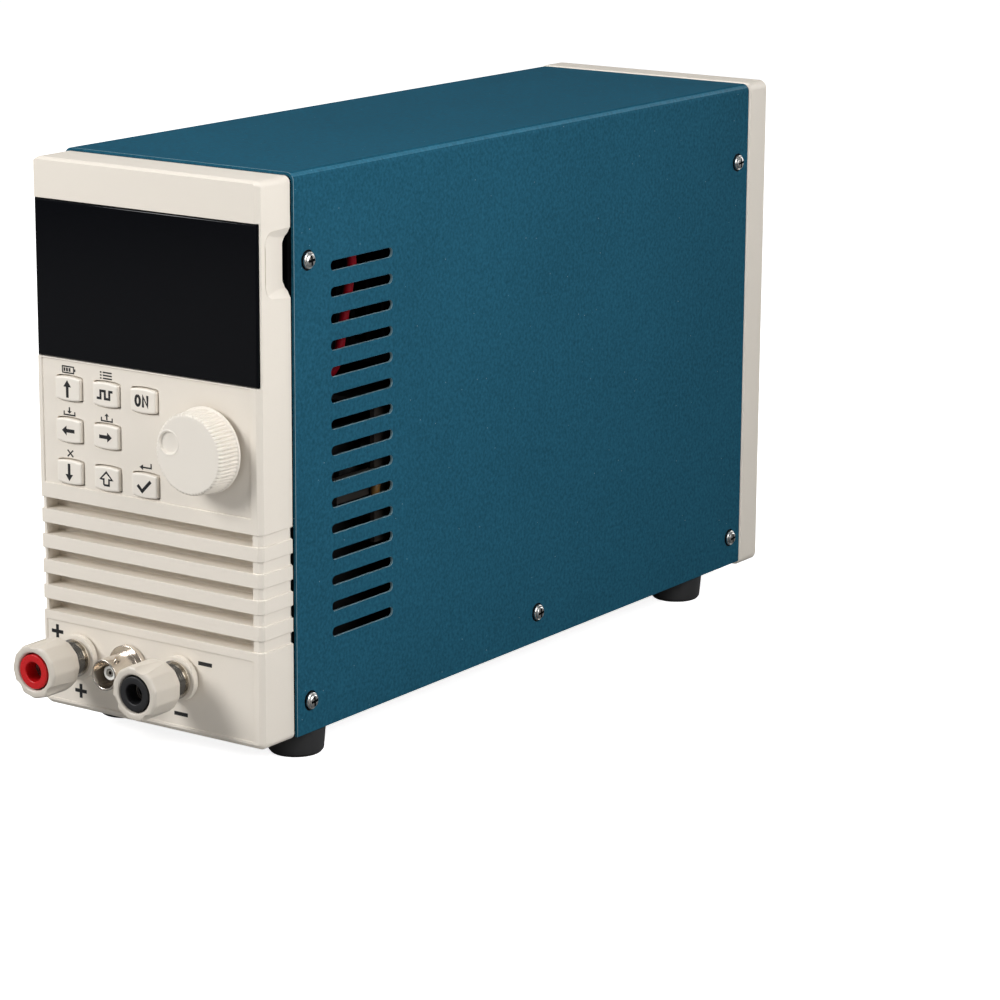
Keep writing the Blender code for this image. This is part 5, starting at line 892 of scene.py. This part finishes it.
def panel_signs():
    """The pictograms, and plus and minus beside the posts."""
    left, rise = 0.3, 5.6
    for key, outlines in pictograms().items():
        x, z = KEYS[key]
        printed(key + "_pictogram", outlines, "case", ((x - left) * MM, KEYPAD_RECESS, (z + rise) * MM))
    thin, apart = 0.56, 0.01
    plus = [bar(-2.3, 2.3, -thin, thin), bar(-thin, thin, thin + apart, 2.2),
            bar(-thin, thin, -2.2, -thin - apart)]
    minus = [bar(-2.6, 2.6, -0.6, 0.6)]
    for name, outlines, x, z in (("plus_left", plus, -37.3, 23.3), ("plus_low", plus, -28.4, 6.0),
                                 ("minus_right", minus, 20.4, 22.8), ("minus_low", minus, 10.9, 5.8)):
        printed(name, outlines, "case", (x * MM, TERMINAL_RECESS, z * MM))


def control_knob():
    """Fine flutes that end in beads at the face, a smooth skirt, and a finger dimple."""
    flutes, per_flute = 62, 8
    facets = flutes * per_flute
    face, depth, rim, edge = 9.6 * MM, 0.55 * MM, 0.9 * MM, 12.15 * MM
    root, root_height = 12.5 * MM, 2.4 * MM

    def ring(radius, depth, height):
        loop = []
        for i in range(facets):
            t = math.tau * i / facets
            across = 2 * (i % per_flute) / per_flute - 1
            reach = radius - depth * (1 - math.sqrt(1 - across ** 2)) ** 0.8
            loop.append((reach * math.cos(t), reach * math.sin(t), height))
        return loop

    skirt = [(12.2, 0, 1.1), (12.7, 0, 1.15), (12.85, 0, 1.3), (12.85, 0, 1.75), (12.7, 0, 1.95),
             (12.5, 0.1, 2.1), (12.5, 0.5, 2.4)]
    loops = [ring(*levels) for levels in in_mm(skirt)]
    rise = face - rim - root_height
    loops += [ring(root + (edge - root) * i / 6, depth, root_height + rise * i / 6) for i in range(1, 7)]
    for i in range(1, 9):
        turn = math.radians(90 * i / 8)
        loops.append(ring(edge - rim * (1 - math.cos(turn)), depth * (1 - (i / 8) ** 6),
                          face - rim * (1 - math.sin(turn))))
    loops.append(ring(10.8 * MM, 0, face))
    seat = Matrix.Translation((-7.1 * MM, 2.7 * MM, face))
    lip = lathe([(3.4, -0.6), (4.0, -0.6), (3.95, 0.04), (3.6, 0.1), (3.4, 0)], 0.15, closed=True)
    dimple = lathe([(0, -0.65), (3.1, -0.65), (3.55, 0.5), (0, 0.5)], 0.5)
    for part in (lip, dimple):
        part.transform(seat)
    shape = carved(skinned(loops), [(JOIN, lip), (CUT, dimple)])
    front_piece("knob", shape, "pale_plastic", "encoder_knob", KNOB, "knob", 60)


# Terminals

def post_stud():
    """Threaded stud with its nut and the 4 mm socket in its end."""
    crest, valley, pitch = 5.05, 4.45, 0.9
    thread = [(crest, 3.4)]
    height = 3.5
    while height < 10.2:
        thread += [(valley, height), (crest, height + pitch / 2)]
        height += pitch
    return lathe([(0, 5.8), (2.05, 5.8), (2.05, 16.8), (2.7, 16.8), (2.7, 10.8), (4.5, 10.8)] + thread[::-1]
                 + [(5.85, 3.4), (5.85, 2.6), (3.2, 2.6), (3.2, -25), (0, -25)], 0.12, 72, steps=2)


def cap_outline(radius, turn, roundness, facets):
    """Twelve-sided outline that roundness turns into a circle."""
    sector = math.tau / 12
    points = []
    for i in range(facets):
        t = math.tau * i / facets
        side = (t - turn) % sector - sector / 2
        reach = radius * min(math.cos(sector / 2) / math.cos(side), 0.992)
        reach += (radius - reach) * roundness
        points.append((reach * math.cos(t), reach * math.sin(t)))
    return points


def post_cap(turn):
    """Hand nut in millimetres: twelve-sided, round where it meets the insert, with three finger hollows."""
    facets = 180
    seat, corner, foot, bore = 5.7, 7.35, 8.3, 6.6
    profile = [(bore, foot), (8.1, 9.9), (8.45, 12.0), (8.45, 21.5), (seat, 21.5), (seat, 16.3),
               (3.0, 16.3), (3.0, 15.4), (5.2, 15.4), (5.2, foot)]
    loops = []
    for radius, height in eased(profile, 1.1, 6, True):
        if height < foot + 0.01 and radius < bore:
            loops.append(circle(radius * MM, height * MM, facets))
            continue
        roundness = min(1, max(0, (corner - radius) / (corner - seat)))
        loops.append(along_z(cap_outline(radius * MM, turn, roundness, facets), height * MM))
    scallops = bmesh.new()
    for angle in (90, -38, 222):
        away = math.radians(angle) + turn
        out = Vector((math.cos(away), math.sin(away), 0))
        ends = [out * reach * MM + Vector((0, 0, height * MM)) for reach, height in ((10.3, 23), (11.9, 9))]
        add_rod(scallops, *ends, 3.4 * MM, 48)
    return carved(skinned(loops, True), [(CUT, scallops)])


def binding_post(colour, spot, turn):
    collar = lathe([(3.5, 2.3), (6.9, 2.3), (6.9, 0.35), (6.5, 0.35), (6.5, 0), (4.6, 0), (4.6, -3.8),
                    (3.5, -3.8)], 0.12, closed=True)
    front_piece(f"{colour}_collar", collar, "cream_plastic", f"{colour}_post_collar", spot)
    stud = front_piece(f"{colour}_stud", post_stud(), "thread_nickel", f"{colour}_post_stud", spot)
    stud.data.materials.append(FINISHES["nickel"])
    nut_height, smooth = 3.5 * MM, 1
    for face in stud.data.polygons:
        if -nut_height < face.center.y < 0:
            face.material_index = smooth
    front_piece(f"{colour}_cap_fine", post_cap(turn), "cap_plastic", f"{colour}_post_cap", spot,
                f"{colour}_cap", 20)
    insert = lathe([(3.05, 21.5), (5.3, 21.5), (5.3, 16.6), (3.05, 16.6)], 0.35, closed=True)
    front_piece(f"{colour}_insert_fine", insert, f"{colour}_plastic", f"{colour}_post_insert", spot,
                f"{colour}_insert")


def bnc_connector():
    """Coaxial socket: barrel with two bayonet lugs, and its white core."""
    shell = lathe([(2.5, 3.75), (4.15, 3.75), (4.15, 11.75), (4.75, 11.75), (4.75, 1.7), (6.75, 1.7),
                   (6.75, 0), (4.6, 0), (4.6, -9), (2.5, -9)], 0.22, closed=True)
    lugs = bmesh.new()
    spoke, rise = Vector((0.5, math.sqrt(3) / 2, 0)), Vector((0, 0, 8.3 * MM))
    for sign in (-1, 1):
        add_rod(lugs, *[spoke * sign * reach * MM + rise for reach in (4.4, 5.55)], MM)
    front_piece("bnc_barrel", carved(shell, [(JOIN, lugs)]), "warm_nickel", "bnc_shell", BNC)
    core = lathe([(1.4, 9.1), (2.2, 9.1), (2.2, -9), (1.4, -9)], 0.2, 48, True)
    front_piece("bnc_core", core, "white_ptfe", "bnc_insulator", BNC)


# Rear

def rear_frame():
    half, top, drop = COVER_HALF + FRAME_STEP, COVER_TOP + FRAME_STEP, MM
    wall, lip, floor = 3.0 * MM, 5.6 * MM, 270.4 * MM

    def ring(inset, y):
        radius = max(2.8 * MM - inset, MM)
        outline = rounded_rectangle(2 * (half - inset), top + drop - 2 * inset, radius)
        return along_y(shifted(outline, 0, (top - drop) / 2), y)

    profile = eased([(0, FRAME_FRONT), (0, FRAME_REAR), (wall, FRAME_REAR), (wall, floor), (lip, floor),
                     (lip, FRAME_FRONT)], 0.9 * MM, 5, True)
    shape = skinned([ring(inset, y) for inset, y in profile], True)
    piece("rear_surround", shape, "cream_plastic", "rear_frame")


def fan_guard():
    """Chromed wire rings on four spokes that end in eyes, and the screws through the eyes."""
    wire = 0.9 * MM
    spoke_level = 1.5 * wire
    eye, corner, spoke_root = 3.3 * MM, 25 * MM, 9.1 * MM
    shape = bmesh.new()
    section = arc((0, 0), wire, 0, 330, 11)

    def add_ring(x, z, radius, level):
        loops = [circle(radius + a, level + b, 72) for a, b in section]
        skin(shape, [[(px + x, py + z, h) for px, py, h in loop] for loop in loops], True)

    for radius in (10, 19, 28):
        add_ring(0, 0, radius * MM, 0)
    for x in (-corner, corner):
        for z in (-corner, corner):
            add_ring(x, z, eye, spoke_level)
            way = Vector((x, z, 0)).normalized()
            add_rod(shape, Vector((x, z, spoke_level)) - way * eye,
                    way * spoke_root + Vector((0, 0, spoke_level)), wire, 16)
    piece("guard_wires", shape, "nickel", "fan_guard", turn=FACE_FORWARD,
          place=(0, FRAME_FRONT + wire + spoke_level, FAN_Z))
    for level, z in (("low", -corner), ("high", corner)):
        for side, x in (("left", -corner), ("right", corner)):
            place = (x, FRAME_FRONT + 1.2 * MM, FAN_Z + z)
            add_screw(f"fan_screw_{level}_{side}", place, (0, 1, 0), turned(-90, "X"))


def serial_insert():
    """The dark face with nine pin holes inside the shell of the serial port, in millimetres."""
    x, z, half, rise, slant = -16.0, 54.0, 7.75, 3.45, 1.0
    front, rear, pin, pin_pitch, row_rise = 268.7, 273.6, 0.6, 2.77, 1.42
    outline = in_mm([(x - half, z + rise), (x + half, z + rise), (x + half - slant, z - rise),
                     (x + slant - half, z - rise)])
    shape = skinned([along_y(outline, front * MM), along_y(outline, rear * MM)])
    holes = bmesh.new()
    for row, count in ((row_rise, 5), (-row_rise, 4)):
        for i in range(count):
            across = x + (i - (count - 1) / 2) * pin_pitch
            add_rod(holes, *in_mm([(across, 271, z + row), (across, 275, z + row)]), pin * MM, 16)
    piece("serial_face", carved(shape, [(CUT, holes)]), "black_plastic")


# Inside

def inner_parts():
    """What shows through the right-hand vents: a red wire, a small board and a coil."""
    way = [(30, 9.4, 151), (36, 26, 151), (39, 46.5, 147), (39, 48.1, 138), (39, 44, 122), (39, 40, 106),
           (27, 30, 100), (20, 50, 88), (20, 60, 83)]
    piece("display_wire", tube(eased(in_mm(way), 9 * MM, 6), 1.45 * MM), "wire_red")
    board = block(*in_mm([(36.2, 60.5, 50), (37.8, 76, 94)]))
    add_block(board, *in_mm([(35.4, 42, 65.5), (37.6, 60.6, 73)]))
    for z in (58, 78):
        add_rod(board, *in_mm([(29.6, 66, z), (36.4, 66, z)]), 2 * MM)
    piece("sense_board", board, "board_brown")
    section = arc((0, 0), 1.5 * MM, 0, 330, 11)
    coil = skinned([circle(4.6 * MM + a, b, 48) for a, b in section], True)
    piece("coil", coil, "winding", turn=turned(90, "Y"), place=(39.2 * MM, 63.4 * MM, 66.6 * MM))


def inner_nodes_in_painted_shade():
    """Inner solids in finishes darkened as painted shade, since they show only as darkness behind the vents
    and grips.
    """
    for node, finish in (("heatsink", "aluminium_in_painted_shade"), ("front_plate", "zinc_in_painted_shade"),
                         ("sink_cradle", "zinc_in_painted_shade"), ("control_board", "board_in_painted_shade"),
                         ("power_board", "board_in_painted_shade")):
        piece(node + "_in_painted_shade", copied(node), finish, node)


def softened_nodes():
    """Solids whose form is right and that only need their edges eased, by a width in millimetres."""
    for node, finish, width, body in (
            ("chassis_tray", "galvanised", 0.15, "case"), ("rear_panel", "galvanised", 0.15, "case"),
            ("mains_inlet", "black_plastic", 0.2, "case"), ("switch_body", "black_plastic", 0.15, "case"),
            ("serial_port", "nickel", 0.12, "case"), ("fan_frame", "black_plastic", 0.25, "case"),
            ("fuse_drawer", "black_plastic", 0.2, "fuse_drawer"), ("rocker", "black_plastic", 0.3, "rocker"),
            ("fan_rotor", "black_plastic", 0.2, "fan_rotor")):
        piece(node + "_eased", soften(copied(node), width * MM, 50), finish, node, body)


def kept_nodes():
    """Give the solids that stay in view the finishes of their material slots."""
    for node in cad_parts.values():
        for slot in node.material_slots:
            name = slot.material.name.split(".")[0]
            if name in FINISHES:
                slot.material = FINISHES[name]


# Floor, light and camera

def floor_finish():
    """Plain pale floor. It stays bright to the camera and dim to reflections on the case."""
    material, tree, shader = new_finish("floor_paper", 0.8)
    grain = use_effect(tree, "moulded_grain", {"Size": 2 * MM, "Tint": 0.01, "Roughness": 0.8})
    path = add_node(tree, "LightPath", {})
    tone = mixed(tree, path["Is Camera Ray"], linear((170, 170, 170)), linear((250, 250, 250)))
    colour = shaded(tree, (255, 255, 255), grain["Shade"])
    dim = mixed(tree, path["Is Glossy Ray"], colour, linear((150, 150, 150)))
    glow = worked_out(tree, "MULTIPLY", path["Is Camera Ray"], 0.85)
    set_inputs(tree, shader, {"Base Color": mixed(tree, 1.0, tone, dim, "MULTIPLY"),
                              "Emission Color": WHITE, "Emission Strength": glow})
    return material


def add_floor():
    mesh = bpy.data.meshes.new("floor")
    shape = bmesh.new()
    bmesh.ops.create_grid(shape, x_segments=8, y_segments=8, size=6)
    shape.to_mesh(mesh)
    shape.free()
    floor = linked("floor", mesh)
    mesh.materials.append(floor_finish())


def add_world():
    """A white surround: full to the camera, weak in the light, a little stronger in reflections."""
    world = bpy.data.worlds.new("studio")
    world.use_nodes = True
    tree = world.node_tree
    path = add_node(tree, "LightPath", {})
    weak = ranged(tree, path["Is Glossy Ray"], 0.1, 0.2)
    level = add_node(tree, "Mix", {"Factor": path["Is Camera Ray"], 2: weak, 3: 1.0})[0]
    set_inputs(tree, tree.nodes["Background"], {"Color": WHITE, "Strength": level})
    bpy.context.scene.world = world


def add_lamps():
    for name, (place, size, power) in LAMPS.items():
        lamp = bpy.data.lights.new(name, "AREA")
        lamp.size = size
        lamp.energy = power
        light = linked(name, lamp)
        light.location = place
        light.rotation_euler = (LAMP_AIM - Vector(place)).to_track_quat("-Z", "Y").to_euler()
        light.visible_camera = False
        light.visible_glossy = name != "left"


def camera():
    lens = bpy.data.cameras.new("camera")
    lens.lens = 127.94
    lens.sensor_width = 36
    view = linked("camera", lens)
    view.location = (0.66298, -0.90567, 0.32877)
    view.rotation_euler = [math.radians(a) for a in (76.1581, -0.3414, 34.7467)]
    bpy.context.scene.camera = view
    bpy.context.scene.view_settings.view_transform = "Standard"


camera()
add_floor()
add_world()
add_lamps()
kept_nodes()
front_bezel()
case_cover()
case_screws()
feet()
display_window()
for key, (key_x, key_z) in KEYS.items():
    key_cap(key, key_x, key_z)
key_signs()
panel_signs()
control_knob()
binding_post("red", RED_POST, 0)
binding_post("black", BLACK_POST, math.radians(-17))
bnc_connector()
rear_frame()
fan_guard()
serial_insert()
inner_parts()
inner_nodes_in_painted_shade()
softened_nodes()
